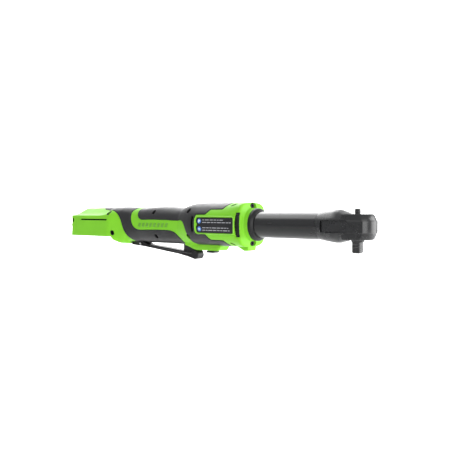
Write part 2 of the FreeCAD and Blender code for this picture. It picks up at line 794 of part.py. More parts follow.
def stator_shape():
    """Laminated ring with one inward tooth, with a wide shoe, for each slot."""
    rear, front = size("stator_rear") + 3, size("stator_front") - 3
    yoke_inner = size("stator_radius") - 3.5
    shape = ring_shape(rear, front, yoke_inner, size("stator_radius"))
    slots = int(size("stator_slots"))
    for index in range(slots):
        stem = Part.makeBox(front - rear, 4.0, yoke_inner - size("stator_bore_radius"),
                            Vector(rear, -2.0, size("stator_bore_radius") + 0.4))
        stem.rotate(Vector(0, 0, 0), Vector(1, 0, 0), index * 360.0 / slots)
        shape = shape.fuse(stem)
    return shape.cut(Part.makeCylinder(size("stator_bore_radius"), 60, Vector(rear - 20, 0, 0),
                                       Vector(1, 0, 0)))


def coil_shape():
    """One winding: a rectangular loop around a stator tooth."""
    rear, front = size("stator_rear"), size("stator_front")
    low, high = size("stator_bore_radius") + 1.6, size("stator_radius") - 4.2
    outer = Part.makeBox(front - rear, 7.6, high - low, Vector(rear, -3.8, low))
    inner = Part.makeBox(front - rear - 5.6, 4.4, high - low + 2, Vector(rear + 2.8, -2.2, low - 1))
    return outer.cut(inner)


def magnet_shape():
    """One of the four arc magnets on the rotor."""
    rear, front = size("stator_rear") + 2, size("stator_front") - 2
    inner = size("rotor_radius") - size("magnet_thickness")
    ring = ring_shape(rear, front, inner + 0.02, size("rotor_radius"))
    sector = Part.makeCylinder(30, front - rear, Vector(rear, 0, 0), Vector(1, 0, 0), 80)
    return ring.common(sector)


def fan_shape():
    """Hub, thin back plate and curved-back blades."""
    rear, front = size("fan_rear"), size("fan_front")
    shape = ring_shape(rear, front, size("motor_shaft_radius") + 0.02, 6.0)
    shape = shape.fuse(ring_shape(front - 1.0, front, 5.5, size("fan_radius")))
    blades = int(size("fan_blades"))
    for index in range(blades):
        blade = Part.makeBox(front - rear, 1.2, size("fan_radius") - 6.2, Vector(rear, 2.0, 5.2))
        blade.rotate(Vector(0, 0, 0), Vector(1, 0, 0), index * 360.0 / blades)
        shape = shape.fuse(blade)
    return shape


motor_stator = node("motor_stator", feature("motor_stator", stator_shape()))
stator_windings = node("stator_windings", around_axis(
    "stator_windings", coil_shape(), int(size("stator_slots"))))
rotor_core = node("rotor_core", turned("rotor_core", "X", [
    ("stator_rear + 2", "motor_shaft_radius + 0.02"),
    ("stator_rear + 2", "rotor_radius - magnet_thickness"),
    ("stator_front - 2", "rotor_radius - magnet_thickness"),
    ("stator_front - 2", "motor_shaft_radius + 0.02"),
]))
rotor_magnets = node("rotor_magnets", around_axis("rotor_magnets", magnet_shape(), 4))
motor_shaft = node("motor_shaft", rod("motor_shaft", "X", "motor_shaft_rear", "gear_front",
                                      "motor_shaft_radius"))
cooling_fan = node("cooling_fan", feature("cooling_fan", fan_shape()))
for label, rear, front in (
        ("motor_rear_bearing", "rear_bearing_rear", "rear_bearing_front"),
        ("motor_front_bearing", "front_bearing_rear", "case_rear - 0.3")):
    node(label, turned(label, "X", [
        (rear, "motor_shaft_radius + running_gap"), (rear, "ball_bearing_radius"),
        (front, "ball_bearing_radius"), (front, "motor_shaft_radius + running_gap")]))

# ---------------------------------------------------------------- housing skins

# Sections of the moulded body: position, half width, top, bottom and the powers of the
# superellipse above and below the axis (2 is an ellipse, higher is squarer).
SECTIONS = [
    (size("foot_rear"), 36.0, 22.4, 21.0, 2.2, 6.0),
    (-398.0, 36.0, 23.0, 21.5, 2.2, 6.0),
    (-387.0, 31.5, 23.0, 30.5, 2.4, 3.8),
    (-374.0, 24.8, 23.0, 31.5, 2.5, 3.0),
    (-360.0, 21.8, 22.4, 31.0, 2.5, 2.6),
    (-345.0, 20.9, 21.8, 29.6, 2.4, 2.4),
    (-318.0, 21.3, 23.2, 29.0, 2.4, 2.4),
    (-290.0, 21.5, 23.2, 29.0, 2.4, 2.4),
    (-270.0, 21.4, 21.6, 29.4, 2.4, 2.4),
    (-258.0, 23.8, 24.3, 29.8, 2.3, 2.3),
    (-246.0, 27.0, 27.3, 30.0, 2.2, 2.2),
    (-235.0, 28.6, 28.6, 30.0, 2.1, 2.1),
    (-200.0, 29.0, 28.4, 30.0, 2.2, 2.2),
    (-165.0, 29.3, 29.0, 30.0, 2.6, 2.6),
    (-152.0, 28.6, 28.6, 29.6, 3.2, 3.2),
    (size("housing_front"), 22.6, 22.6, 22.6, 2.4, 2.4),
]
SECTION_POINTS = 32


def section_wire(x, half_width, top, bottom, power_above, power_below, offset):
    points = []
    for index in range(SECTION_POINTS):
        angle = 2 * math.pi * index / SECTION_POINTS
        c, s = math.cos(angle), math.sin(angle)
        height, power = (top, power_above) if s > 0 else (bottom, power_below)
        across = (half_width + offset) * math.copysign(abs(c) ** (2 / power), c)
        upward = (height + offset) * math.copysign(abs(s) ** (2 / power), s)
        points.append(Vector(x, across, upward))
    curve = Part.BSplineCurve()
    curve.interpolate(points, PeriodicFlag=True)
    return Part.Wire(curve.toShape())


def skin(name, offset):
    """The whole moulded body's outside, moved outwards by offset."""
    wires = [section_wire(*section, offset) for section in SECTIONS]
    return feature(name, Part.makeLoft(wires, True, True))


outside = skin("outside", 0.0)
under_cover = skin("under_cover", -(size("overmold_thickness") + size("joint_gap") / 2))
cover_inside = skin("cover_inside", -(size("overmold_thickness") - size("joint_gap") / 2))
inside = skin("inside", -size("wall") - size("overmold_thickness"))
label_outside = skin("label_outside", 0.7)
label_inside = skin("label_inside", 0.1)
frame_outside = skin("frame_outside", size("frame_height"))

BIG = "60"
SCREWS = [(-393.5, 14.2), (-389.4, -15.4), (-315.5, 15.2), (-309.9, -18.8),
          (-242.6, 17.3), (-242.6, -16.3)]


def screw_rods(name, start, end, radius):
    """One cylinder across the tool at each housing screw."""
    return [
        rod("%s_%d" % (name, index), "Y", start, end, radius, x=str(x), z=str(z))
        for index, (x, z) in enumerate(SCREWS)
    ]


def label_region(name, margin):
    return block(name, "label_rear - (%s)" % margin, "label_front + (%s)" % margin, "-" + BIG, BIG,
                 "label_bottom - (%s)" % margin, "label_top + (%s)" % margin)


bay = cut(
    "bay",
    block("bay_space", "foot_rear - 1", "bay_front", "0 - bay_half_width", "bay_half_width", "-40", "bay_roof"),
    block("rail_left", "foot_rear + 4", "bay_front + 1", "bay_half_width - rail_depth", BIG,
          "rail_bottom", "rail_top"),
    block("rail_right", "foot_rear + 4", "bay_front + 1", "0 - " + BIG, "rail_depth - bay_half_width",
          "rail_bottom", "rail_top"),
)
cavity = cut(
    "cavity", inside,
    block("bay_roof_solid", "foot_rear - 1", "bay_wall_front", "-" + BIG, BIG, "-40", "bay_roof + 2.5"),
    block("foot_rear_wall", "foot_rear - 1", "foot_rear + 2.5", "-" + BIG, BIG, "-40", "40"),
    block("front_wall", "front_wall_rear", "-140", "-" + BIG, BIG, "-40", "40"),
    block("recess_wall", "recess_rear - 3", "recess_front + 3", "-11", "11", "-40", "recess_top + 3"),
    cut("rear_bearing_wall",
        block("rear_bearing_rib", "rear_bearing_rear", "rear_bearing_front", "-" + BIG, BIG, "-11", "11"),
        rod("rear_bearing_seat", "X", "rear_bearing_rear - 1", "rear_bearing_front + 1",
            "ball_bearing_radius + 0.03"),
        block("lead_gap", "rear_bearing_rear - 1", "rear_bearing_front + 1", "9.4", "12.8", "-6", "6")),
    *screw_rods("boss", "-30", "30", "boss_radius"),
)
grip_region = block("grip_region", "grip_cover_rear", "grip_cover_front", "-" + BIG, BIG, "-40", "40")
motor_region = cut(
    "motor_region",
    block("motor_band", "motor_cover_rear", "motor_cover_front", "-" + BIG, BIG, "-40", "40"),
    label_region("frame_room", "frame_margin + 0.2"),
)
cover_layer = cut("cover_layer", outside, under_cover)


def trims(name, grow):
    """The fin, lamp boss and pivot ears under the body, grown sideways by grow."""
    return [
        block(name + "_fin", "fin_rear - " + grow, "fin_front + " + grow, "-%s - fin_half_width" % grow,
              "fin_half_width + " + grow, "fin_bottom", "-24"),
        block(name + "_lamp", "lamp_rear", "lamp_front", "-%s - lamp_half_width" % grow,
              "lamp_half_width + " + grow, "lamp_bottom", "-26"),
        block(name + "_ears", "ear_rear - " + grow, "ear_front + " + grow, "-%s - ear_outer" % grow,
              "ear_outer + " + grow, "ear_bottom", "-24"),
    ]


vent_sides = (("left", "24.5", BIG), ("right", "-" + BIG, "-24.5"))
access = screw_rods("screw_access", "-45", "screw_seat", "screw_head_radius + 0.3")
lever_room = [
    block("lever_recess", "recess_rear", "recess_front", "0 - recess_half_width", "recess_half_width",
          "-40", "recess_top"),
    block("trigger_opening", "opening_rear", "opening_front", "0 - opening_half_width",
          "opening_half_width", "-40", "-20"),
]
slot_vents = [
    block("slot_vent_left", "slot_vent_x - 0.9", "slot_vent_x + 0.9", "15", BIG,
          "0 - slot_vent_half_length", "slot_vent_half_length"),
    block("slot_vent_right", "slot_vent_x - 0.9", "slot_vent_x + 0.9", "-" + BIG, "-15",
          "0 - slot_vent_half_length", "slot_vent_half_length"),
]
openings = access + lever_room + slot_vents + [
    cavity, bay,
    block("side_slots", "slot_rear", "slot_front", "-" + BIG, BIG, "slot_bottom", "slot_top"),
    block("terminal_window", "bay_front - 1", "bay_wall_front + 1", "-0.05 - terminal_half_width",
          "terminal_half_width + 0.05", "terminal_bottom - 0.05", "terminal_top + 0.05"),
    rod("gear_case_room", "X", "cover_rear - 1", "front_wall_rear", "case_flange_radius + 0.1"),
    rod("nozzle_bore", "X", "front_wall_rear - 1", "-140", "nozzle_radius + 0.1"),
    rod("pivot_hole", "Y", "-1 - ear_outer", "ear_outer + 1", "pivot_pin_radius + 0.02",
        x="pivot_x", z="pivot_z"),
    cut("label_pocket", label_region("label_window", "0"), label_inside),
    block("lamp_window", "lamp_front - 6", "lamp_front + 1", "-5.2", "5.2", "-33", "-28.8"),
]
openings += screw_rods("screw_bore", "screw_seat - 1", "screw_end + 0.2", "screw_shank_radius + 0.1")
openings += [
    block("vent_pocket_" + side, "vent_rear", "vent_front", low, high,
          "0 - vent_half_height", "vent_half_height")
    for side, low, high in vent_sides
]
for index, side in enumerate(screw_sides):
    openings.append(rod("case_screw_pocket_%d" % index, "X", "case_screw_head_rear - 0.05", "-140",
                        "case_screw_head_radius + 0.3", z=side + "case_screw_offset"))
    openings.append(rod("case_screw_bore_%d" % index, "X", "front_wall_rear - 1", "-150", "1.7",
                        z=side + "case_screw_offset"))
housing = cut(
    "housing_whole",
    fuse("housing_blank",
         cut("housing_outside", outside,
             common("grip_seat", grip_region, cover_layer),
             common("motor_seat", motor_region, cover_layer)),
         common("label_frame", label_region("frame_band", "frame_margin"), frame_outside),
         *trims("trim", "0")),
    *openings,
)
cover_openings = fuse("cover_openings", *access, *lever_room, *slot_vents, *trims("trim_room", "0.15"))
cover_sleeve = cut("cover_sleeve", outside, cover_inside)
label_layer = cut("label_layer", label_outside, label_inside)
vent_fill = cut("vent_fill", under_cover, rod("vent_core", "X", "-170", "-140", "21.2"))
grilles = []
for side, low, high, vent_low, vent_high in (
        ("left", "0", BIG, "24.6", BIG), ("right", "-" + BIG, "0", "-" + BIG, "-24.6")):
    half = block("half_" + side, "foot_rear - 2", "housing_front + 2", low, high, "-60", "60")
    node("housing_" + side, common("housing_" + side, housing, half))
    for label, region in (("grip_overmold_", grip_region), ("motor_overmold_", motor_region)):
        band = common(label + "band_" + side, region, half)
        node(label + side, cut(label + side, common(label + "layer_" + side, band, cover_sleeve),
                               cover_openings))
    node("nameplate_" + side, common(
        "nameplate_" + side,
        common("label_band_" + side, label_region("label_room_" + side, "-0.15"), half), label_layer))
    grilles.append(common(
        "vent_grille_" + side,
        block("vent_room_" + side, "vent_rear + 0.1", "vent_front - 0.1", vent_low, vent_high,
              "0.1 - vent_half_height", "vent_half_height - 0.1"), vent_fill))
node("vent_grilles", group("vent_grilles", *grilles))
node("housing_screws", group("housing_screws", *[
    fuse("housing_screw_%d" % index, head, shank)
    for index, (head, shank) in enumerate(zip(
        screw_rods("screw_head", "screw_seat - 3", "screw_seat", "screw_head_radius"),
        screw_rods("screw_shank", "screw_seat - 0.5", "screw_end", "screw_shank_radius")))
]))
node("rubber_stub", block("rubber_stub", "stub_rear", "stub_front", "-6", "6", "stub_bottom", "fin_bottom"))
node("led_lens", block("led_lens", "lamp_front - 2", "lamp_front - 0.2", "-5", "5", "-32.8", "-29"))
node("led_board", block("led_board", "lamp_front - 5", "lamp_front - 3.6", "-5", "5", "-32.8", "-29"))

# ---------------------------------------------------------------- lever and switch

lever_bar = plate("lever_bar", "XZ_Plane", [
    ("-374", "-33.4"), ("-372", "-34.3"), ("-334.7", "-37.2"), ("-303", "-40"), ("-273.4", "-43.3"),
    ("-254.6", "-47"), ("toe_x", "-49.4"), ("toe_x", "-44"), ("-256", "-43.4"), ("-273.4", "-40.2"),
    ("-303", "-36.9"), ("-334", "-34.1"), ("-346", "-33"), ("-346", "-30"), ("-348.5", "-27.5"),
    ("-362", "-27.6"), ("-372", "-28.2"), ("-374", "-29.5"),
], "0 - lever_half_width", "lever_half_width")
node("lever", cut(
    "lever",
    fuse("lever_blank", lever_bar,
         rod("lever_toe", "Y", "0 - lever_half_width", "lever_half_width", "toe_radius",
             x="toe_x", z="toe_z"),
         block("trigger_block", "block_rear", "block_front", "0 - block_half_width",
               "block_half_width", "-44.5", "block_top")),
    rod("lever_pin_bore", "Y", "-20", "20", "pivot_pin_radius + running_gap",
        x="pivot_x", z="pivot_z"),
    rod("lever_spring_room", "Y", "-3.4", "3.4", "pivot_pin_radius + 2.4", x="pivot_x", z="pivot_z"),
))
node("lever_pivot_pin", rod("lever_pivot_pin", "Y", "0 - ear_outer", "ear_outer", "pivot_pin_radius",
                            x="pivot_x", z="pivot_z"))


def spring_shape(radius, wire_radius, length, turns):
    """A coil about the Y axis through the lever's pivot."""
    helix = Part.makeHelix(length / turns, length, radius)
    profile = Part.Wire(Part.makeCircle(wire_radius, Vector(radius, 0, 0), Vector(0, 1, 0)))
    coil = Part.Wire(helix).makePipeShell([profile], True, True)
    coil.rotate(Vector(0, 0, 0), Vector(1, 0, 0), -90)
    coil.translate(Vector(size("pivot_x"), -length / 2, size("pivot_z")))
    return coil


node("lever_spring", feature("lever_spring", spring_shape(
    size("pivot_pin_radius") + 1.1, 0.4, 5.2, 5)))
node("trigger_switch", cut(
    "trigger_switch",
    block("switch_case", "switch_rear", "switch_front", "0 - switch_half_width", "switch_half_width",
          "switch_bottom", "switch_top"),
    rod("switch_bore", "Z", "switch_bottom - 1", "switch_top - 2", "plunger_radius + running_gap",
        x="plunger_x"),
))
node("switch_plunger", fuse(
    "switch_plunger",
    rod("plunger_stem", "Z", "plunger_bottom + 1", "plunger_top", "plunger_radius", x="plunger_x"),
    rod("plunger_button", "Z", "plunger_bottom", "plunger_bottom + 2", "plunger_radius + 1", x="plunger_x"),
))

# ---------------------------------------------------------------- electrics

node("terminal_block", block("terminal_block", "bay_front", "terminal_front", "0 - terminal_half_width",
                             "terminal_half_width", "terminal_bottom", "terminal_top"))
node("terminal_blades", group("terminal_blades", *[
    block("terminal_blade_%d" % index, "blade_rear", "bay_front", "%s - 0.5" % y, "%s + 0.5" % y,
          "terminal_bottom + 2", "terminal_top - 3")
    for index, y in enumerate(("-12", "-4.5", "4.5", "12"))
]))
node("controller_board", block("controller_board", "board_rear", "board_front", "0 - board_half_width",
                               "board_half_width", "board_bottom", "board_bottom + board_thickness"))
board_top = "board_bottom + board_thickness"
node("controller_parts", group(
    "controller_parts",
    *[block("power_transistor_%d" % index, "board_front - %d" % (14 + 8 * index),
            "board_front - %d" % (8 + 8 * index), "-11", "-5", board_top, board_top + " + 2.4")
      for index in range(3)],
    *[block("power_transistor_far_%d" % index, "board_front - %d" % (14 + 8 * index),
            "board_front - %d" % (8 + 8 * index), "5", "11", board_top, board_top + " + 2.4")
      for index in range(3)],
    block("processor", "board_rear + 16", "board_rear + 23", "-3.5", "3.5", board_top, board_top + " + 1.2"),
    rod("capacitor", "X", "board_rear + 2", "board_rear + 14", "4", y="7", z="board_bottom + 5.8"),
))
node("ring_board", turned("ring_board", "X", [
    ("ring_board_rear", "6"), ("ring_board_rear", "21"),
    ("ring_board_front", "21"), ("ring_board_front", "6")]))
node("wire_leads", group(
    "wire_leads",
    *[rod("motor_lead_%d" % index, "X", "board_front + 0.2", "ring_board_rear - 0.02", "lead_radius",
          y="11", z=str(z)) for index, z in enumerate((-4.0, -0.5, 3.0))],
    *[rod("battery_lead_%d" % index, "X", "terminal_front + 0.02", "board_rear - 0.2", "lead_radius + 0.4",
          y=str(y), z="board_bottom") for index, y in enumerate((-9.0, 9.0))],
    *[rod("switch_lead_%d" % index, "X", "board_front + 0.2", "switch_rear - 0.02", "lead_radius - 0.4",
          y=str(y), z="-7") for index, y in enumerate((-3.0, 3.0))],
))

# ---------------------------------------------------------------- check and export

document.recompute()
for item in document.Objects:
    if "Invalid" in item.State or "Error" in item.State:
        raise RuntimeError("%s did not recompute: %s" % (item.Label, item.State))
os.makedirs("parts", exist_ok=True)
for item in NODES:
    shape = item.Shape
    if shape.isNull() or not shape.isValid() or not shape.Solids:
        raise RuntimeError("%s has no valid solid" % item.Label)
    shape.exportStep("parts/%s.step" % item.Label)
print("wrote %d sub-parts" % len(NODES))
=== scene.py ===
"""Looks of the extended-reach cordless ratchet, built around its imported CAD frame.

Lengths are millimetres from the tool's long axis: x runs towards the ratchet head, z is up,
and the drive square turns about x = 0. Meshes are turned to metres when they are made."""

import json
import math

import bmesh
import bpy
import numpy as np
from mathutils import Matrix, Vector
from mathutils.geometry import tessellate_polygon

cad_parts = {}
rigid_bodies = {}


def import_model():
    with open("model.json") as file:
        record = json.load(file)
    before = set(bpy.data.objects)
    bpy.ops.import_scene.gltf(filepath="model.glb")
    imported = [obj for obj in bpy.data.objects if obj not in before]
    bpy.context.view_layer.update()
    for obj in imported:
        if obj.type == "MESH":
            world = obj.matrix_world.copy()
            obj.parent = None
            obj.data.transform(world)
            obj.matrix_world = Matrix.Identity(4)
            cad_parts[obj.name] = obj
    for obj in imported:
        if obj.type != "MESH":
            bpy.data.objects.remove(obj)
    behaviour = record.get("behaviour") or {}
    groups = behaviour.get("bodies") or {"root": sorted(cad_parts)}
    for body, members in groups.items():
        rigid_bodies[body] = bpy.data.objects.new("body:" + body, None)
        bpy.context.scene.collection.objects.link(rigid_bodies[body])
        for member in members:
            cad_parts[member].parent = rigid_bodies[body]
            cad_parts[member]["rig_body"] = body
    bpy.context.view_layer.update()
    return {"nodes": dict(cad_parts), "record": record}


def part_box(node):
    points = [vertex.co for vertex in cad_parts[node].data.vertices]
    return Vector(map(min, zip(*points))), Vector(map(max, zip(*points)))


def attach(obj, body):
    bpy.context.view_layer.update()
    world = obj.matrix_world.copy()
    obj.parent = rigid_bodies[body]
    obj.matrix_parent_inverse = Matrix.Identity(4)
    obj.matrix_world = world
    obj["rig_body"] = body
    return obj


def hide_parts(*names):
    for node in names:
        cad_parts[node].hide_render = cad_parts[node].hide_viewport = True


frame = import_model()

MM = 0.001
SIDES = ((-1, "right"), (1, "left"))
SLOTS = {row["node"]: row["material_slot"] for row in frame["record"]["subparts"]}


def node_mm(name):
    """A CAD node's lowest and highest corners in millimetres from the tool axis."""
    low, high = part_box(name)
    lift = Vector((0, 0, AXIS))
    return (low - lift) / MM, (high - lift) / MM


tube_low, tube_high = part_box("extension_tube")
AXIS = (tube_low.z + tube_high.z) / 2
FOOT_REAR = node_mm("housing_right")[0].x
HOUSING_FRONT = node_mm("housing_right")[1].x

# ------------------------ materials

NOISE_SPAN = (0.3, 0.7)       # nearly all of a noise texture's values lie between these


def set_inputs(node, values):
    """Sets a shader node's inputs; an underscore in a name stands for a space."""
    for name, value in values.items():
        node.inputs[name.replace("_", " ")].default_value = value


class Shader:
    """A Principled material whose colour, roughness and relief come from noise nodes."""

    def __init__(self, name):
        self.material = bpy.data.materials.new(name)
        self.material.use_nodes = True
        self.nodes = self.material.node_tree.nodes
        self.links = self.material.node_tree.links
        self.shader = self.nodes["Principled BSDF"]
        self.space = self.node("TexCoord")
        self.height = None

    def node(self, kind, **values):
        """A new shader node with some of its inputs set."""
        made = self.nodes.new("ShaderNode" + kind)
        set_inputs(made, values)
        return made

    def noise(self, size_mm, detail, stretch=(1, 1, 1)):
        mapping = self.node("Mapping", Scale=stretch)
        self.links.new(self.space.outputs["Object"], mapping.inputs["Vector"])
        texture = self.node("TexNoise", Scale=1.0 / (size_mm * MM), Detail=detail, Roughness=0.55)
        self.links.new(mapping.outputs["Vector"], texture.inputs["Vector"])
        return texture.outputs["Fac"]

    def colour(self, source, low, high):
        ramp = self.node("ValToRGB")
        for element, place, shown in zip(ramp.color_ramp.elements, NOISE_SPAN, (low, high)):
            element.position = place
            element.color = (*shown, 1)
        self.links.new(source, ramp.inputs["Fac"])
        self.links.new(ramp.outputs["Color"], self.shader.inputs["Base Color"])

    def roughness(self, source, low, high):
        spread = self.node("MapRange", From_Min=NOISE_SPAN[0], From_Max=NOISE_SPAN[1], To_Min=low,
                           To_Max=high)
        self.links.new(source, spread.inputs["Value"])
        self.links.new(spread.outputs["Result"], self.shader.inputs["Roughness"])

    def relief(self, source, depth_mm):
        bump = self.node("Bump", Distance=depth_mm * MM, Strength=1.0)
        self.links.new(source, bump.inputs["Height"])
        if self.height is not None:
            self.links.new(self.height, bump.inputs["Normal"])
        self.height = bump.outputs["Normal"]
        self.links.new(self.height, self.shader.inputs["Normal"])

    def set(self, **values):
        set_inputs(self.shader, values)
        return self.material


def cos_sin(degrees):
    return math.cos(math.radians(degrees)), math.sin(math.radians(degrees))


def shade(colour, factor):
    return tuple(min(1.0, c * factor) for c in colour)


def moulded_plastic(name, colour, rough, grain_mm, grain_depth, tint, specular=0.5):
    """Injection-moulded plastic or rubber: a spark-eroded grain and faint flow marks."""
    made = Shader(name)
    made.colour(made.noise(38, 2.0), shade(colour, 1 - tint), shade(colour, 1 + tint))
    made.roughness(made.noise(9, 4.0), rough - 0.05, rough + 0.06)
    made.relief(made.noise(grain_mm, 2.0), grain_depth)
    made.relief(made.noise(70, 1.0), 0.06)
    return made.set(Specular_IOR_Level=specular)


def metal(name, colour, rough, grain_mm, grain_depth, metallic=1.0, along=(1, 1, 1), specular=0.5):
    """Machined or coated metal: fine directional marks and patches of wear."""
    made = Shader(name)
    made.colour(made.noise(6, 3.0, along), shade(colour, 0.88), shade(colour, 1.12))
    made.roughness(made.noise(12, 2.0, along), rough - 0.04, rough + 0.05)
    made.relief(made.noise(grain_mm, 3.0, along), grain_depth)
    return made.set(Metallic=metallic, Specular_IOR_Level=specular)


GREEN = (0.215, 0.61, 0.027)
# colour, roughness, grain size and depth in mm, unevenness of the colour, specular level
PLASTICS = {
    "green_plastic": (GREEN, 0.38, 0.5, 0.006, 0.04, 0.18),
    "soft_grip": ((0.021, 0.0205, 0.0215), 0.38, 0.35, 0.006, 0.10, 0.34),
    "black_plastic": ((0.007, 0.007, 0.0075), 0.40, 0.45, 0.006, 0.12, 0.35),
    "label_film": ((0.012, 0.012, 0.014), 0.34, 0.25, 0.002, 0.05, 0.35),
    "clear_lens": ((0.09, 0.10, 0.11), 0.15, 1.2, 0.01, 0.03),
    "circuit_board": ((0.02, 0.13, 0.05), 0.4, 0.8, 0.01, 0.25),
    "wire_insulation": ((0.35, 0.03, 0.02), 0.42, 0.5, 0.005, 0.1),
}
# colour, roughness, grain size and depth in mm, metallic share, stretch of the marks, specular
METALS = {
    "head_steel": ((0.015, 0.015, 0.0155), 0.28, 0.7, 0.0002, 0.06),
    "drive_steel": ((0.022, 0.022, 0.022), 0.26, 0.7, 0.0002, 0.1, (1, 1, 4)),
    "gear_steel": ((0.42, 0.41, 0.40), 0.3, 0.4, 0.006),
    "bearing_steel": ((0.62, 0.62, 0.61), 0.2, 0.5, 0.003),
    "spring_steel": ((0.34, 0.33, 0.32), 0.32, 0.3, 0.004),
    "screw_steel": ((0.008, 0.008, 0.008), 0.45, 0.5, 0.01, 0.2, (1, 1, 1), 0.2),
    "tube_coating": ((0.012, 0.012, 0.0125), 0.24, 0.8, 0.0003, 0.05, (0.15, 1, 1)),
    "bronze": ((0.55, 0.33, 0.13), 0.36, 0.6, 0.01),
    "cast_alloy": ((0.48, 0.48, 0.49), 0.5, 0.9, 0.03),
    "lamination": ((0.28, 0.28, 0.30), 0.42, 0.5, 0.02, 1.0, (6, 1, 1)),
    "copper": ((0.72, 0.30, 0.12), 0.3, 0.8, 0.05, 1.0, (3, 1, 1)),
    "magnet": ((0.2, 0.2, 0.21), 0.36, 1.0, 0.01, 0.8),
    "contact_metal": ((0.75, 0.62, 0.38), 0.26, 0.5, 0.003),
}
MATERIALS = {name: moulded_plastic(name, *values) for name, values in PLASTICS.items()}
MATERIALS.update({name: metal(name, *values) for name, values in METALS.items()})
LABEL_BLUE = moulded_plastic("label_blue", (0.08, 0.22, 0.62), 0.32, 0.25, 0.002, 0.06)
LABEL_MARK = moulded_plastic("label_mark", (0.78, 0.80, 0.86), 0.34, 0.25, 0.002, 0.05)
LABEL_WHITE = moulded_plastic("label_white", (0.40, 0.41, 0.43), 0.34, 0.25, 0.002, 0.05)
# A lighter green for the label frame's rim: a painted highlight along its edge.
RIM_PAINTED_HIGHLIGHT = moulded_plastic("rim_green_painted_highlight", (0.30, 0.70, 0.07), 0.34, 0.5, 0.004, 0.04)
# A darker green for the grip's ticks: painted shade on lettering that is the body's own green.
TICK_PAINTED_SHADE = moulded_plastic("tick_green_painted_shade", shade(GREEN, 0.62), 0.42, 0.5, 0.006, 0.05)
# A pale grey for the lever's rib: a painted highlight line.
RIB_PAINTED_HIGHLIGHT = moulded_plastic("rib_grey_painted_highlight", (0.075, 0.075, 0.078), 0.4, 0.4, 0.004, 0.08)
# A near-black for inserts in the slots: painted shade inside them.
SLOT_PAINTED_SHADE = moulded_plastic("slot_painted_shade", (0.0015, 0.0015, 0.0015), 0.6, 0.45, 0.006, 0.1, 0.05)

for name, thing in frame["nodes"].items():
    material = MATERIALS[SLOTS[name]]
    if not thing.material_slots:
        thing.data.materials.append(material)
    for place in thing.material_slots:
        place.material = material

# ------------------------ making pieces


def finished(mesh_object, body, slot, material=None, sharp=35.0, stands_for=()):
    """Gives a piece its finish, its body and the CAD nodes that it stands for."""
    mesh_object.data.materials.clear()
    mesh_object.data.materials.append(material or MATERIALS[slot])
    mesh_object.data.shade_smooth()
    mesh_object.data.set_sharp_from_angle(angle=math.radians(sharp))
    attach(mesh_object, body)
    if stands_for:
        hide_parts(*stands_for)
    return mesh_object


def grid_faces(columns, rows, first=0):
    """Quads between points that are numbered column by column."""
    starts = [first + i * rows + j for i in range(columns - 1) for j in range(rows - 1)]
    return [[a, a + 1, a + rows + 1, a + rows] for a in starts]


def placed(name, data):
    """A new object in the scene, for a mesh, a light or a camera."""
    made = bpy.data.objects.new(name, data)
    bpy.context.scene.collection.objects.link(made)
    return made


def raw_piece(name, points_mm, faces):
    """A mesh object from points in millimetres from the tool axis."""
    mesh = bpy.data.meshes.new(name)
    points = np.asarray(points_mm, float) * MM
    points[:, 2] += AXIS
    mesh.from_pydata(points.tolist(), [], faces)
    mesh.update()
    return placed(name, mesh)


def mend(made, weld):
    """Welds doubled points and turns every face outwards."""
    work = bmesh.new()
    work.from_mesh(made.data)
    bmesh.ops.remove_doubles(work, verts=work.verts, dist=weld * MM)
    bmesh.ops.recalc_face_normals(work, faces=work.faces)
    work.to_mesh(made.data)
    work.free()


def bar_piece(name, sections, caps=True):
    """A closed bar from equal loops of points, one loop after another."""
    points = [point for section in sections for point in section]
    size = len(sections[0])
    faces = [list(range(size))[::-1], list(range(len(points) - size, len(points)))] if caps else []
    for k in range(len(sections) - 1):
        for j in range(size):
            a, b = k * size + j, k * size + (j + 1) % size
            faces.append([a, b, b + size, a + size])
    made = raw_piece(name, points, faces)
    mend(made, 0.001)
    return made


def box_piece(name, low, high):
    corners = [(low[1], low[2]), (high[1], low[2]), (high[1], high[2]), (low[1], high[2])]
    return bar_piece(name, [[(x, y, z) for y, z in corners] for x in (low[0], high[0])])


def turned_piece(name, outline_points, axis, centre, steps):
    """A solid turned about an axis through centre; each point is (place along it, radius)."""
    sections = []
    for turn in np.arange(steps) * 2 * math.pi / steps:
        c, s = math.cos(turn), math.sin(turn)
        spots = {"X": [(along, radius * c, radius * s) for along, radius in outline_points],
                 "Y": [(radius * c, along, radius * s) for along, radius in outline_points]}[axis]
        sections.append([tuple(a + b for a, b in zip(spot, centre)) for spot in spots])
    return bar_piece(name, sections + sections[:1], caps=False)


def cut_away(made, tools):
    """Takes closed tool meshes out of a closed mesh."""
    for tool in tools:
        change = made.modifiers.new("cut", "BOOLEAN")
        change.operation = "DIFFERENCE"
        change.solver = "EXACT"
        change.object = tool
    shape = bpy.data.meshes.new_from_object(made.evaluated_get(bpy.context.evaluated_depsgraph_get()))
    made.modifiers.clear()
    made.data = shape
    for tool in tools:
        bpy.data.objects.remove(tool)


def softened(node, width_mm):
    """A copy of a CAD node's shape with its hard edges rounded, standing for that node."""
    source = frame["nodes"][node]
    mesh = source.data.copy()
    work = bmesh.new()
    work.from_mesh(mesh)
    bmesh.ops.remove_doubles(work, verts=work.verts, dist=0.00002)
    bmesh.ops.dissolve_limit(work, angle_limit=math.radians(1.0), verts=work.verts, edges=work.edges)
    hard = [e for e in work.edges
            if len(e.link_faces) == 2 and e.calc_face_angle(0.0) > math.radians(28.0)]
    bmesh.ops.bevel(work, geom=hard, offset=width_mm * MM, offset_type="OFFSET",
                    segments=2, profile=0.5, affect="EDGES", clamp_overlap=True)
    work.to_mesh(mesh)
    work.free()
    piece = placed(node + "_finish", mesh)
    return finished(piece, source["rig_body"], SLOTS[node], stands_for=(node,), sharp=40.0)


# ------------------------ the moulded body's surface

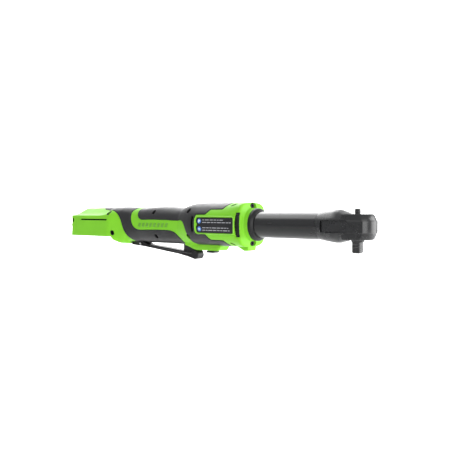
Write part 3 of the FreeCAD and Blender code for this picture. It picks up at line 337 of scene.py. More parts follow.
# x, half width, top, bottom, powers of the superellipse above and below the axis
STATIONS = np.array([
    (FOOT_REAR, 36.0, 21.9, 21.0, 2.6, 5.0),
    (-440.0, 36.0, 22.4, 21.0, 2.6, 5.0),
    (-398.0, 36.0, 23.0, 21.2, 2.6, 5.0),
    (-394.0, 35.1, 23.2, 22.6, 2.7, 5.0),
    (-390.0, 33.3, 23.2, 30.4, 2.8, 4.4),
    (-385.0, 30.3, 23.2, 32.2, 2.9, 4.0),
    (-380.0, 27.4, 23.1, 32.3, 3.0, 3.4),
    (-377.0, 25.9, 23.1, 32.3, 2.9, 3.3),
    (-373.5, 24.4, 23.0, 29.3, 2.9, 2.9),
    (-364.0, 22.3, 22.7, 28.8, 2.6, 2.6),
    (-345.0, 20.8, 21.7, 28.8, 2.4, 2.4),
    (-325.0, 21.1, 22.9, 29.1, 2.4, 2.4),
    (-305.0, 21.5, 23.4, 29.0, 2.4, 2.4),
    (-290.0, 21.5, 23.2, 29.0, 2.4, 2.4),
    (-275.0, 21.2, 22.2, 29.3, 2.4, 2.4),
    (-266.0, 21.6, 21.8, 29.5, 2.4, 2.4),
    (-258.0, 23.8, 24.3, 29.8, 2.3, 2.3),
    (-246.0, 27.2, 27.3, 30.0, 2.2, 2.2),
    (-236.0, 28.7, 28.4, 30.0, 2.1, 2.1),
    (-200.0, 29.0, 28.5, 30.0, 2.1, 2.1),
    (-182.0, 29.2, 28.8, 30.0, 2.2, 2.2),
    (-166.0, 29.3, 29.0, 30.0, 2.6, 2.6),
    (-156.0, 29.0, 28.9, 29.7, 3.4, 3.4),
    (-152.5, 28.6, 28.6, 29.2, 3.9, 3.9),
    (-151.0, 27.9, 28.0, 28.4, 3.9, 3.9),
    (-150.0, 26.6, 26.8, 27.1, 3.6, 3.6),
    (-149.5, 25.0, 25.0, 25.2, 2.9, 2.9),
    (-149.0, 23.4, 23.4, 23.4, 2.3, 2.3),
    (-148.4, 22.4, 22.4, 22.4, 2.1, 2.1),
    (HOUSING_FRONT - 0.2, 21.6, 21.6, 21.6, 2.1, 2.1),
])
FOOT_CREASE = 10.2       # height of the edge between the foot's wall and its shoulder
TOP_BLEND, BASE_BLEND = (-417.0, -396.0), (-402.0, -386.0)
TOP_ROWS, WALL_ROWS, BELLY_ROWS = 26, 16, 20


def smooth_track(xs, values, at):
    """Monotone cubic through a few stations."""
    step = np.diff(xs)
    slope = np.diff(values) / step
    tangent = np.zeros(len(xs))
    for i in range(1, len(xs) - 1):
        if slope[i - 1] * slope[i] > 0:
            left, right = 2 * step[i] + step[i - 1], step[i] + 2 * step[i - 1]
            tangent[i] = (left + right) / (left / slope[i - 1] + right / slope[i])
    tangent[0], tangent[-1] = slope[0], slope[-1]
    k = np.clip(np.searchsorted(xs, at, side="right") - 1, 0, len(xs) - 2)
    t = (at - xs[k]) / step[k]
    return ((1 + 2 * t) * (1 - t) ** 2 * values[k] + t * (1 - t) ** 2 * step[k] * tangent[k]
            + t * t * (3 - 2 * t) * values[k + 1] + t * t * (t - 1) * step[k] * tangent[k + 1])


def ease(low, high, at):
    t = np.clip((at - low) / (high - low), 0, 1)
    return t * t * (3 - 2 * t)


def foot_profile(half_width, top, bottom):
    """Half of the foot's bell-shaped section, as rows of (y, z) from top centre to bottom centre."""
    share = np.linspace(0, 1, TOP_ROWS)[:-2]
    across = half_width - 1.6
    bell = FOOT_CREASE + 0.6 + (top - FOOT_CREASE - 0.6) * (0.5 + 0.5 * np.cos(np.pi * share ** 0.86))
    rows = [(across * s, z + 1.4 * s * (1 - s)) for s, z in zip(share, bell)]
    rows += [(half_width - 0.9, FOOT_CREASE + 0.4), (half_width - 0.2, FOOT_CREASE - 0.5)]
    for s in np.linspace(0, 1, WALL_ROWS):
        rows.append((half_width, FOOT_CREASE - 1.5 + s * (-bottom + 0.9 - FOOT_CREASE + 1.5)))
    rows += [(half_width - 0.25, -bottom + 0.25), (half_width - 0.9, -bottom)]
    for s in np.linspace(0, 1, BELLY_ROWS)[1:]:
        rows.append(((half_width - 0.9) * (1 - s), -bottom))
    return np.array(rows)


ROWS = len(foot_profile(36.0, 22.0, 21.0))


def grip_profile(half_width, top, bottom, power_above, power_below):
    """Half of a rounded section, its rows lined up with the foot's."""
    turns = np.concatenate([
        np.linspace(90, 26, TOP_ROWS)[:-1], np.linspace(24, -40, WALL_ROWS + 1),
        np.linspace(-41.5, -90, BELLY_ROWS + 2)[:ROWS - TOP_ROWS - WALL_ROWS - 1], [-90]])
    turns = np.interp(np.linspace(0, 1, ROWS), np.linspace(0, 1, len(turns)), turns)
    turns[-1] = -90
    c, s = np.cos(np.radians(turns)), np.sin(np.radians(turns))
    height = np.where(s > 0, top, bottom)
    power = np.where(s > 0, power_above, power_below)
    c[-1] = 0
    c[0] = 0
    return np.stack([half_width * np.abs(c) ** (2 / power),
                     height * np.sign(s) * np.abs(s) ** (2 / power)], axis=1)


def body_columns():
    """Places along x, closer together where the body changes quickly."""
    edges = [FOOT_REAR, FOOT_REAR + 0.35, FOOT_REAR + 1.0, FOOT_REAR + 2.2]
    spans = [(FOOT_REAR + 2.2, -404.0, 2.4), (-404.0, -340.0, 1.2), (-340.0, -270.0, 1.8),
             (-270.0, -228.0, 1.2), (-228.0, -160.0, 1.7), (-160.0, -151.2, 0.7),
             (-151.2, -148.3, 0.15), (-148.3, STATIONS[-1, 0], 1.2)]
    for low, high, step in spans:
        count = max(2, int(round((high - low) / step)))
        edges.extend(np.linspace(low, high, count + 1)[1:])
    return np.array(edges)


class Surface:
    """Polygons whose points know where they are on the body, cut along level lines."""

    SNAP = 0.03

    def __init__(self, sign, place, normal, around, columns, rows):
        self.sign = sign
        self.place, self.normal, self.around = place, normal, around
        self.faces = [face if sign < 0 else face[::-1] for face in grid_faces(columns, rows)]

    def cut(self, field, *levels):
        """Adds edges along the places where a field has each of these values."""
        for level in levels:
            value = field(self) - level
            value[np.abs(value) < self.SNAP] = 0
            signs = np.sign(value).astype(int).tolist()
            made, pairs, faces = {}, [], []
            total = len(self.place)
            for face in self.faces:
                marks = [signs[i] for i in face]
                if max(marks) <= 0 or min(marks) >= 0:
                    faces.append(face)
                    continue
                loop, stops = [], []
                for a, b in zip(face, face[1:] + face[:1]):
                    loop.append(a)
                    if signs[a] == 0:
                        stops.append(len(loop) - 1)
                    if signs[a] * signs[b] < 0:
                        key = (min(a, b), max(a, b))
                        if key not in made:
                            made[key] = total + len(pairs)
                            pairs.append(key)
                        loop.append(made[key])
                        stops.append(len(loop) - 1)
                if len(stops) == 2:
                    faces.append(loop[stops[0]:stops[1] + 1])
                    faces.append(loop[stops[1]:] + loop[:stops[0] + 1])
                else:
                    faces.append(loop)
            if pairs:
                a, b = np.array(pairs).T
                share = value[a] / (value[a] - value[b])
                t = share[:, None]
                between = self.place[a] * (1 - t) + self.place[b] * t
                self.place = np.concatenate([self.place, between])
                turned = self.normal[a] * (1 - t) + self.normal[b] * t
                turned /= np.linalg.norm(turned, axis=1, keepdims=True)
                self.normal = np.concatenate([self.normal, turned])
                between = self.around[a] * (1 - share) + self.around[b] * share
                self.around = np.concatenate([self.around, between])
            self.faces = faces

    def middle(self, values):
        """The mean over each face of a value given at each point."""
        return np.array([values[face].mean() for face in self.faces])

    def inside(self, *fields):
        """Marks the faces that lie inside any of these fields."""
        return np.any([self.middle(field(self)) > 0 for field in fields], axis=0)

    def raised(self, height):
        return self.place + self.normal * height[:, None]


class Skin(Surface):
    """One side of the whole moulded body."""

    def __init__(self, sign):
        xs = body_columns()
        tracks = [smooth_track(STATIONS[:, 0], STATIONS[:, k], xs) for k in range(1, 6)]
        low_share = ease(TOP_ROWS - 4, TOP_ROWS + WALL_ROWS, np.arange(ROWS))
        grid = np.zeros((len(xs), ROWS, 3))
        for i, x in enumerate(xs):
            half_width, top, bottom, above, below = (track[i] for track in tracks)
            blend = (ease(*TOP_BLEND, x) * (1 - low_share) + ease(*BASE_BLEND, x) * low_share)[:, None]
            rows = (1 - blend) * foot_profile(half_width, top, bottom)
            rows += blend * grip_profile(half_width, top, bottom, above, below)
            grid[i, :, 0] = x
            grid[i, :, 1:] = rows
        inset = np.interp(xs, FOOT_REAR + np.array([0, 0.35, 1.0, 2.2]), [0.9, 0.35, 0.05, 0])
        across = np.gradient(grid, axis=1)
        along = np.gradient(grid, axis=0)
        normal = np.cross(across, along)
        normal[:, 0, 1] = 0
        normal[:, -1, 1] = 0
        normal /= np.linalg.norm(normal, axis=2, keepdims=True)
        if normal[len(xs) // 2, ROWS // 2, 1] < 0:
            normal = -normal
        grid -= normal * inset[:, None, None]
        lengths = np.linalg.norm(np.diff(grid, axis=1), axis=2)
        around = np.concatenate([np.zeros((len(xs), 1)), np.cumsum(lengths, axis=1)], axis=1)
        self.xs, self.table, self.around_table = xs, grid.copy(), around
        grid[:, :, 1] *= sign
        normal[:, :, 1] *= sign
        super().__init__(sign, grid.reshape(-1, 3), normal.reshape(-1, 3), around.reshape(-1),
                         len(xs), ROWS)

    def column(self, x):
        return int(np.argmin(np.abs(self.xs - x)))

    def half_width(self, x, z):
        i = self.column(x)
        return float(np.interp(-z, -self.table[i, :, 2], self.table[i, :, 1]))

    def reach(self, x, z):
        """How far round from the top centre line the surface has height z, at x."""
        i = self.column(x)
        return float(np.interp(-z, -self.table[i, :, 2], self.around_table[i]))

    def end(self, x):
        """How far round the bottom centre line is, at x."""
        return float(self.around_table[self.column(x), -1])

    def patch(self, low, high, step):
        """A finer piece of this surface's side, over a rectangle in x and z."""
        xs = np.linspace(low[0], high[0], max(2, int((high[0] - low[0]) / step) + 1))
        zs = np.linspace(high[1], low[1], max(2, int((high[1] - low[1]) / step) + 1))
        place = np.zeros((len(xs), len(zs), 3))
        for i, x in enumerate(xs):
            k = int(np.clip(np.searchsorted(self.xs, x) - 1, 0, len(self.xs) - 2))
            t = (x - self.xs[k]) / (self.xs[k + 1] - self.xs[k])
            widths = [np.interp(-zs, -self.table[n, :, 2], self.table[n, :, 1]) for n in (k, k + 1)]
            place[i, :, 0] = x
            place[i, :, 1] = self.sign * ((1 - t) * widths[0] + t * widths[1])
            place[i, :, 2] = zs
        normal = np.cross(np.gradient(place, axis=1), np.gradient(place, axis=0))
        normal /= np.linalg.norm(normal, axis=2, keepdims=True)
        normal *= np.sign(normal[:, :, 1:2]) * self.sign
        return Surface(self.sign, place.reshape(-1, 3), normal.reshape(-1, 3),
                       np.zeros(place.shape[0] * place.shape[1]), len(xs), len(zs))


def outline(points, corner=3.0, steps=4):
    """A closed outline whose corners are rounded; a third number in a point is its own corner."""
    loop = [np.array(point[:2], float) for point in points]
    sizes = [point[2] if len(point) > 2 else corner for point in points]
    rounded = []
    for before, at, after, size in zip(loop[-1:] + loop[:-1], loop, loop[1:] + loop[:1], sizes):
        start = at + (before - at) * min(0.5, size / np.linalg.norm(before - at))
        end = at + (after - at) * min(0.5, size / np.linalg.norm(after - at))
        for t in np.linspace(0, 1, steps + 1):
            rounded.append((1 - t) ** 2 * start + 2 * t * (1 - t) * at + t * t * end)
    return np.array(rounded)


def inside_distance(loop, u, v):
    """Distance to a closed outline, positive inside it."""
    points = np.stack([u, v], axis=1)
    best = np.full(len(points), 1e9)
    inside = np.zeros(len(points), bool)
    for a, b in zip(loop, np.roll(loop, -1, axis=0)):
        edge = b - a
        t = np.clip(((points - a) @ edge) / max(edge @ edge, 1e-12), 0, 1)
        best = np.minimum(best, np.linalg.norm(points - a - t[:, None] * edge, axis=1))
        crosses = (a[1] > v) != (b[1] > v)
        with np.errstate(divide="ignore", invalid="ignore"):
            where = a[0] + (v - a[1]) * edge[0] / (b[1] - a[1])
        inside ^= crosses & (u < where)
    return np.where(inside, best, -best)


def box_distance(u, v, centre, half, radius):
    """Distance to a rounded rectangle, positive inside it."""
    du = np.abs(u - centre[0]) - (half[0] - radius)
    dv = np.abs(v - centre[1]) - (half[1] - radius)
    outside = np.hypot(np.maximum(du, 0), np.maximum(dv, 0))
    return radius - outside - np.minimum(np.maximum(du, dv), 0)


# Edges of the soft covers, as (x, z) on the body's side. The covers run on past the centre
# lines above and below.
GRIP_REAR_EDGE = [(-440.5, 22.2), (-433.0, 19.9), (-412.0, 18.9), (-397.0, 18.5), (-389.0, 17.0),
                  (-383.7, 13.6), (-378.5, 6.7), (-374.7, -8.1), (-371.4, -17.0), (-366.5, -24.0),
                  (-362.8, -27.2)]
STRIPE_LOWER_EDGE = [(-357.5, 20.6), (-361.0, 17.2), (-360.8, 9.8), (-359.4, 0.9), (-355.4, -6.4),
                     (-347.7, -10.0), (-319.9, -9.9), (-289.3, -9.6), (-278.5, -9.9),
                     (-270.5, -13.0), (-262.5, -20.5), (-259.6, -26.4)]
STRIPE_UPPER_EDGE = [(-349.8, 20.2), (-349.6, 14.8), (-347.4, 9.2), (-342.9, 5.4), (-337.0, 4.5),
                     (-299.4, 4.7), (-263.9, 4.9), (-255.0, 4.2), (-250.0, 0.2), (-246.8, -6.0),
                     (-244.3, -14.6), (-242.8, -20.6), (-239.8, -26.2), (-233.0, -29.2)]
MOTOR_FRONT_EDGE = [(-177.6, -29.0), (-176.4, -26.8), (-182.2, -21.0), (-203.2, -21.0),
                    (-206.0, -19.0), (-210.4, -13.0), (-227.0, -12.9), (-227.0, 12.7),
                    (-210.4, 12.8), (-206.0, 17.2), (-203.2, 19.8), (-182.8, 20.0),
                    (-177.4, 26.4)]


def lower_cover(skin):
    """The soft cover round the back of the grip and along its underside."""
    points = [(-442.0, -8.0, 4.0)] + [(x, skin.reach(x, z), 6.0) for x, z in GRIP_REAR_EDGE]
    points += [(-361.5, skin.end(-361) + 12), (-258.5, skin.end(-259) + 12)]
    points += [(x, skin.reach(x, z), 6.0) for x, z in reversed(STRIPE_LOWER_EDGE)]
    points += [(-356.5, -8.0)]
    return outline(points)


def upper_cover(skin):
    """The soft cover over the grip's top and round the motor."""
    points = [(-349.5, -8.0)] + [(x, skin.reach(x, z), 6.0) for x, z in STRIPE_UPPER_EDGE]
    points += [(x, skin.reach(x, z), 1.0) for x, z in MOTOR_FRONT_EDGE] + [(-176.6, -8.0)]
    return outline(points)


# ------------------------ relief and regions of the skin

GROOVE = 0.5
COVER_PROUD = 0.45
SHELL_DEPTH, COVER_DEPTH = 2.0, 1.3
COVER_SPLIT = -259.0       # the soft covers are two mouldings, behind and ahead of this x
HOLE_RADIUS, HOLE_STRAIGHT = 2.4, 1.3
# x, z and lean in degrees of the long holes
SCREW_HOLES = [(-398.0, 14.4, -38), (-389.4, -15.4, 6), (-315.5, 15.2, -28), (-309.9, -18.8, 28),
               (-242.6, 17.3, -30), (-242.4, -17.2, 30)]
FRAME_CENTRE, FRAME_HALF = (-192.2, -1.0), (34.0, 12.0)
LABEL_CENTRE, LABEL_HALF = (-192.0, -1.2), (32.1, 10.3)
PIP, PIP_RADIUS = (-224.2, -0.3), 1.9       # a raised dot at the rear end of the label
VENT_REAR, VENT_FRONT, VENT_HALF_HEIGHT = -158.0, -150.6, 16.0
SLOT_VENT_X, SLOT_VENT_HALF = -231.8, 10.8
FOOT_SLOT_Z = 4.1
BAY_FRONT, BAY_HALF_WIDTH, BAY_ROOF = -401.0, 32.5, 5.5
# The fin and the lamp boss below the motor: centre x, half length and half width, then how far
# they hang below the underside, and between which x they reach that depth.
FIN, FIN_DEPTH, FIN_REAR, FIN_FRONT = (-229.0, 33.0, 11.0), 5.8, (-262.0, -238.0), (-196.0, -202.0)
LAMP, LAMP_DEPTH, LAMP_REAR = (-159.8, 9.0, 9.5), 4.0, (-167.5, -157.5)
UNDERSIDE = -30.2
REAR_LEAN = 7.0       # the shape of the foot's rear edge fades out over this length
CAP_SCREW_Z = 24.3


def near_side(function):
    """Keeps a field to the part of the skin that faces sideways."""
    def field(skin):
        value = function(skin.place[:, 0], skin.place[:, 2])
        return np.where(np.abs(skin.place[:, 1]) > 9.0, value, -5.0)
    return field


def under_side(function):
    """Keeps a field to the underside of the skin."""
    def field(skin):
        value = function(skin.place[:, 0], skin.place[:, 1])
        return np.where(skin.place[:, 2] < -18.0, value, -5.0)
    return field


def lower_cover_field(skin):
    return inside_distance(skin.lower, skin.place[:, 0], skin.around)


def upper_cover_field(skin):
    return inside_distance(skin.upper, skin.place[:, 0], skin.around)


def hole_field(hole):
    x0, z0, lean = hole
    c, s = cos_sin(lean)

    @near_side
    def field(x, z):
        u = (x - x0) * c + (z - z0) * s
        v = -(x - x0) * s + (z - z0) * c
        return box_distance(u, v, (0, 0), (HOLE_RADIUS, HOLE_RADIUS + HOLE_STRAIGHT), 2.35)
    return field


@near_side
def pip_field(x, z):
    return PIP_RADIUS - np.hypot(x - PIP[0], z - PIP[1])


@near_side
def label_field(x, z):
    clear_of_pip = np.hypot(x - PIP[0], z - PIP[1]) - PIP_RADIUS - 0.3
    return np.minimum(box_distance(x, z, LABEL_CENTRE, LABEL_HALF, 2.8), clear_of_pip)


@near_side
def vent_field(x, z):
    bow = 1.3 * (np.abs(z) / VENT_HALF_HEIGHT) ** 2
    return box_distance(x - bow, z, ((VENT_REAR + VENT_FRONT) / 2 - 0.6, 0),
                        ((VENT_FRONT - VENT_REAR) / 2, VENT_HALF_HEIGHT), 1.4)


@near_side
def corner_slit_field(x, z):
    """A slit above and below, where the motor cover meets the front shell, filled with painted shade."""
    lean = (x + 168.5) * 0.35
    return box_distance(x, np.abs(z) - lean, (-168.5, 25.8), (3.9, 1.1), 1.0)


def screw_pocket_field(skin):
    x, y, z = skin.place.T
    return np.minimum(x + 154.0, 4 - 4 * np.hypot(y / 6.2, (np.abs(z) - CAP_SCREW_Z) / 3.9))


def side_box(centre, half, radius):
    """A rounded rectangle on the body's sides, in x and z."""
    return near_side(lambda x, z: box_distance(x, z, centre, half, radius))


def under_box(centre, half, radius):
    """A rounded rectangle on the body's underside, in x and y."""
    return under_side(lambda x, y: box_distance(x, y, centre, half, radius))


frame_field = side_box(FRAME_CENTRE, FRAME_HALF, 4.6)
slot_vent_field = side_box((SLOT_VENT_X, 0), (1.65, SLOT_VENT_HALF), 1.2)
foot_slot_field = side_box((-429.5, FOOT_SLOT_Z), (31.5, 1.1), 1.0)
latch_notch_field = side_box((FOOT_REAR + 1.8, 2.9), (4.6, 3.2), 1.2)
bay_field = under_box((FOOT_REAR - 20, 0), (BAY_FRONT - FOOT_REAR + 20, BAY_HALF_WIDTH), 0.6)
fin_field = under_box((FIN[0], 0), FIN[1:], 3.0)
lamp_field = under_box((LAMP[0], 0), LAMP[1:], 2.0)
lever_recess_field = under_box((-359.5, 0), (17.5, 7.5), 1.5)
trigger_field = under_box((-252.3, 0), (17.7, 7.9), 1.5)
# The slots in this list get near-black inserts as painted shade.
PAINTED_SHADE_SLOTS = [slot_vent_field, foot_slot_field, latch_notch_field, corner_slit_field]
OPEN_SLOTS = PAINTED_SHADE_SLOTS + [screw_pocket_field]
UNDER_OPENINGS = [bay_field, lever_recess_field, trigger_field]
HOLES = {1: [], -1: [hole_field(hole) for hole in SCREW_HOLES]}

# Steps in the skin, as pairs of a distance inside a field's line and the height there.
COVER_EDGE = [(0.0, -GROOVE), (-0.5, 0.0), (0.6, COVER_PROUD * 0.7), (1.5, COVER_PROUD)]
SLOT_EDGE = [(0.0, -0.25), (-0.4, 0.0)]
OPENING_EDGE = [(0.0, -0.4), (-0.5, 0.0)]
HOLE_EDGE = [(0.0, -0.35), (-0.5, 0.0)]
UNDER_STEP = [(0.0, 0.0), (0.5, 0.0), (1.2, 0.0)]       # moulded() gives these their depth
STEPS = [(lower_cover_field, COVER_EDGE), (upper_cover_field, COVER_EDGE),
         (frame_field, [(0.0, 0.2), (-0.35, -0.3), (0.4, 1.3), (0.9, 1.5)]),
         (pip_field, [(0.0, 0.0), (0.5, 0.5), (PIP_RADIUS, 0.8)]),
         (label_field, [(0.0, -1.3), (-0.9, 0.0), (-0.5, -0.2)]),
         (vent_field, [(0.0, -0.5), (-0.5, -0.12), (-1.1, 0.0)])]
STEPS += [(field, SLOT_EDGE) for field in OPEN_SLOTS]
STEPS += [(fin_field, UNDER_STEP), (lamp_field, UNDER_STEP)]
STEPS += [(field, OPENING_EDGE) for field in UNDER_OPENINGS]
RELIEF = {sign: STEPS + [(field, HOLE_EDGE) for field in HOLES[sign]] for sign in (-1, 1)}


def plane_field(axis, value):
    """Puts a line of edges across the body, so that a narrow slot has points inside it."""
    return lambda skin: skin.place[:, axis] - value


def profile(distance, points):
    """A height that depends only on the distance to a line."""
    places, heights = zip(*points)
    return np.interp(distance, places, heights)


def seam_gap(skin):
    """The two halves meet in a fine groove."""
    return -0.3 * np.exp(-(np.abs(skin.place[:, 1]) / 0.5) ** 2)


def make_skin(sign):
    """A side of the body with edges wherever its relief changes."""
    skin = Skin(sign)
    skin.lower, skin.upper = lower_cover(skin), upper_cover(skin)
    skin.cut(plane_field(2, FOOT_SLOT_Z), 0.0)
    skin.cut(plane_field(0, SLOT_VENT_X), 0.0)
    for field, levels in RELIEF[sign]:
        skin.cut(field, *(distance for distance, height in levels))
    return skin


def heights(skin):
    """How far each point of the skin stands out from the smooth body."""
    high = np.where(skin.place[:, 0] > FOOT_REAR + 3, seam_gap(skin), 0)
    for field, levels in RELIEF[skin.sign]:
        high += profile(field(skin), sorted(levels))
    return high


def rear_trim(z):
    """The foot's rear edge leans and has a small step in it."""
    return np.interp(z, [-21.0, -8.0, -6.6, -5.4, -4.2, -3.4, 12.0, 23.0],
                     [0.0, 1.5, 1.5, 0.1, 0.1, 1.3, 1.3, 1.3])


def moulded(skin, place):
    """Adds the fin, the lamp boss and the shape of the foot's rear edge."""
    place = place.copy()
    x = skin.place[:, 0]
    fin_depth = FIN_DEPTH * ease(*FIN_REAR, x) * ease(*FIN_FRONT, x)
    lamp_depth = LAMP_DEPTH * ease(*LAMP_REAR, x)
    for field, depth in ((fin_field, fin_depth), (lamp_field, lamp_depth)):
        share = profile(field(skin), [(0.0, 0.0), (0.5, 0.75), (1.2, 1.0)])
        flat = np.minimum(place[:, 2], UNDERSIDE - depth)
        place[:, 2] += np.where(depth > 0, share * (flat - place[:, 2]), 0)
    near_end = np.clip((FOOT_REAR + REAR_LEAN - x) / REAR_LEAN, 0, 1)
    place[:, 0] += rear_trim(place[:, 2]) * near_end
    return place


def shell_piece(name, skin, chosen, outer, inner_depth):
    """A closed shell from some of the skin's faces."""
    faces = [skin.faces[k] for k in np.flatnonzero(chosen)]
    used = sorted({i for face in faces for i in face})
    order = {old: new for new, old in enumerate(used)}
    count = len(used)
    loops = [[order[i] for i in face] for face in faces]
    edges = {(a, b) for loop in loops for a, b in zip(loop, loop[1:] + loop[:1])}
    rim = [(a, b) for a, b in edges if (b, a) not in edges]
    shell = loops + [[i + count for i in reversed(loop)] for loop in loops]
    shell += [[b, a, a + count, b + count] for a, b in sorted(rim)]
    inner = outer - skin.normal * inner_depth
    return raw_piece(name, np.concatenate([outer[used], inner[used]]), shell)


def side_pieces(sign):
    """The shell and the soft covers of one side."""
    side = "right" if sign < 0 else "left"
    skin = make_skin(sign)
    outer = moulded(skin, skin.raised(heights(skin)))
    solid = ~skin.inside(vent_field, *OPEN_SLOTS, *UNDER_OPENINGS, *HOLES[sign])
    cover = skin.inside(lower_cover_field, upper_cover_field) & ~skin.inside(frame_field, fin_field)
    grip = cover & (skin.middle(skin.place[:, 0]) < COVER_SPLIT)
    hard = ~skin.inside(label_field) & ~cover
    pieces = [("housing_shell_", hard, "green_plastic", SHELL_DEPTH, "housing_"),
              ("grip_cover_", grip, "soft_grip", COVER_DEPTH, "grip_overmold_"),
              ("motor_cover_", cover & ~grip, "soft_grip", COVER_DEPTH, "motor_overmold_")]
    for name, chosen, slot, depth, node in pieces:
        made = shell_piece(name + side, skin, solid & chosen, outer, depth)
        finished(made, "housing", slot, stands_for=(node + side,))
    # Near-black inserts fill these slots as painted shade.
    dark = skin.inside(*PAINTED_SHADE_SLOTS)
    # The corner slits' inserts lie nearly level with the shell, the others deeper.
    sunk = np.where(corner_slit_field(skin) > -1.0, 0.3, 1.3)[:, None]
    made = shell_piece("slot_shade_inserts_" + side, skin, dark, outer - skin.normal * sunk, 0.8)
    finished(made, "housing", "black_plastic", SLOT_PAINTED_SHADE)
    return skin


# ------------------------ label, emboss and vents

ICONS, ICON_RADIUS = [(-218.0, 4.1), (-218.0, -6.2)], 3.2
LINE_START, DASH_GAP = -212.6, 1.0
LABEL_LINES = [(5.7, -176.5), (2.4, -163.5), (-4.6, -167.5), (-7.9, -165.5)]     # z, end x


def icon_field(skin):
    x, _, z = skin.place.T
    return np.maximum(*(ICON_RADIUS - np.hypot(x - x0, z - z0) for x0, z0 in ICONS))


def icon_mark_field(skin):
    """A wedge in the upper disc and two bars in the lower one."""
    x, _, z = skin.place.T
    (x0, z0), (x1, z1) = ICONS
    wedge = np.minimum(x - x0 + 1.7, 2.2 - np.hypot(x - x0 + 0.3, z - z0))
    wedge = np.minimum(wedge, 1.6 - (x - x0) * 0.55 - np.abs(z - z0 - 0.3))
    bar = np.maximum(box_distance(x, z, (x1, z1 + 0.5), (1.7, 0.42), 0.3),
                     box_distance(x, z, (x1, z1 - 0.9), (1.7, 0.42), 0.3))
    return np.maximum(wedge, bar)


def line_field(skin):
    """Rows of short dashes where a label has its wording."""
    x, _, z = skin.place.T
    value = np.full(len(x), -5.0)
    for row, (z0, end) in enumerate(LABEL_LINES):
        place, k = LINE_START, row
        while place < end - 2:
            stop = min(place + 3.4 + 1.3 * ((k * 7) % 4), end)
            half = (stop - place) / 2
            value = np.maximum(value, box_distance(x, z, (place + half, z0), (half, 0.5), 0.25))
            place, k = stop + DASH_GAP, k + 1
    return value


def corners(centre, half):
    """The low and high corners of a rectangle drawn out by half a millimetre."""
    return ([at - (size + 0.5) for at, size in zip(centre, half)],
            [at + (size + 0.5) for at, size in zip(centre, half)])


def label_pieces(skin, side):
    """The printed plate in its frame: a dark film with plain discs and dashes on it."""
    plate = skin.patch(*corners(LABEL_CENTRE, LABEL_HALF), 0.55)
    plate.cut(label_field, 0.0, 0.5)
    for field in (icon_field, icon_mark_field, line_field):
        plate.cut(field, 0.0)
    fields = (label_field, icon_field, icon_mark_field, line_field)
    label, disc, mark, line = (plate.inside(field) for field in fields)
    flat = plate.raised(0.15 + profile(label_field(plate), [(0.0, -0.3), (0.5, 0.0)]))
    ink = flat + plate.normal * 0.04
    pieces = [("label_plate_", label & ~disc & ~line, flat, MATERIALS["label_film"]),
              ("label_dashes_", label & line, ink, LABEL_WHITE),
              ("label_discs_", label & disc & ~mark, ink, LABEL_BLUE),
              ("label_marks_", label & disc & mark, ink, LABEL_MARK)]
    for name, chosen, place, material in pieces:
        made = shell_piece(name + side, plate, chosen, place, 0.7)
        stands_for = ("nameplate_" + side,) if name == "label_plate_" else ()
        finished(made, "housing", "label_film", material, stands_for=stands_for)


def ring_field(skin):
    """The raised rim of the label's frame, coloured lighter green as a painted highlight."""
    x, _, z = skin.place.T
    outer = box_distance(x, z, FRAME_CENTRE, (FRAME_HALF[0] - 0.3, FRAME_HALF[1] - 0.3), 4.3)
    inner = box_distance(x, z, LABEL_CENTRE, (LABEL_HALF[0] + 0.6, LABEL_HALF[1] + 0.5), 3.2)
    return np.minimum(outer, -inner)


TICKS, TICK_START, TICK_STEP = 8, -342.0, 7.9


def tick_field(skin):
    """Leaning ticks along the grip's side, where the maker's word would be, coloured darker green as
    painted shade.
    """
    x, _, z = skin.place.T
    value = np.full(len(x), -5.0)
    lean = (z + 2.6) * 0.4
    for k in range(TICKS):
        place = (TICK_START + TICK_STEP * k, -2.7)
        value = np.maximum(value, box_distance(x - lean, z, place, (2.5, 2.9), 0.5))
    return value


def raised_piece(name, patch, field, heights_mm, depth, material):
    """A thin raised pattern with sloping edges, cut from a patch of the skin."""
    patch.cut(field, 0.0, 0.35)
    height = np.interp(field(patch), (0.0, 0.35), heights_mm)
    made = shell_piece(name, patch, patch.inside(field), patch.raised(height), depth)
    finished(made, "housing", "green_plastic", material)


def vent_pieces(skin, side):
    """A louvred insert behind the tall side vent."""
    grille = skin.patch((VENT_REAR - 1.5, -VENT_HALF_HEIGHT - 0.3),
                        (VENT_FRONT + 1.2, VENT_HALF_HEIGHT + 0.3), 0.4)
    grille.cut(vent_field, -0.1)
    _, _, z = grille.place.T
    slats = -1.5 - 0.55 * np.abs(np.sin(z * math.pi / 2.6)) ** 3
    made = shell_piece("vent_insert_" + side, grille, grille.middle(vent_field(grille)) > -0.1,
                       grille.raised(slats), 1.0)
    finished(made, "housing", "black_plastic", stands_for=("vent_grilles",))


for sign, side in SIDES:
    skin = side_pieces(sign)
    label_pieces(skin, side)
    # The frame's rim is lighter green as a painted highlight.
    rim = skin.patch(*corners(FRAME_CENTRE, FRAME_HALF), 0.6)
    raised_piece("label_rim_" + side, rim, ring_field, (1.2, 1.75), 1.4, RIM_PAINTED_HIGHLIGHT)
    # The ticks are darker green as painted shade.
    ticks = skin.patch((-348, -7.0), (-281, 1.6), 0.6)
    raised_piece("grip_ticks_" + side, ticks, tick_field, (-0.1, 0.4), 0.8, TICK_PAINTED_SHADE)
    vent_pieces(skin, side)

# ------------------------ battery bay and screw wells

RAIL_DEPTH, RAIL_LOW, RAIL_HIGH, RAIL_START = 2.6, -12.0, -9.0, 6.0
WALL_Y, WALL_Z, WINDOW_CELL = (0.0, 17.05, BAY_HALF_WIDTH), (-21.0, -8.05, 4.55, BAY_ROOF), 1
WELL_FLOOR = -8.2
EAR_OUTLINE = [(-355.8, -23.0), (-355.8, -30.5), (-354.6, -33.0), (-353.0, -33.6), (-351.6, -32.6),
               (-350.8, -30.0), (-350.8, -23.0)]


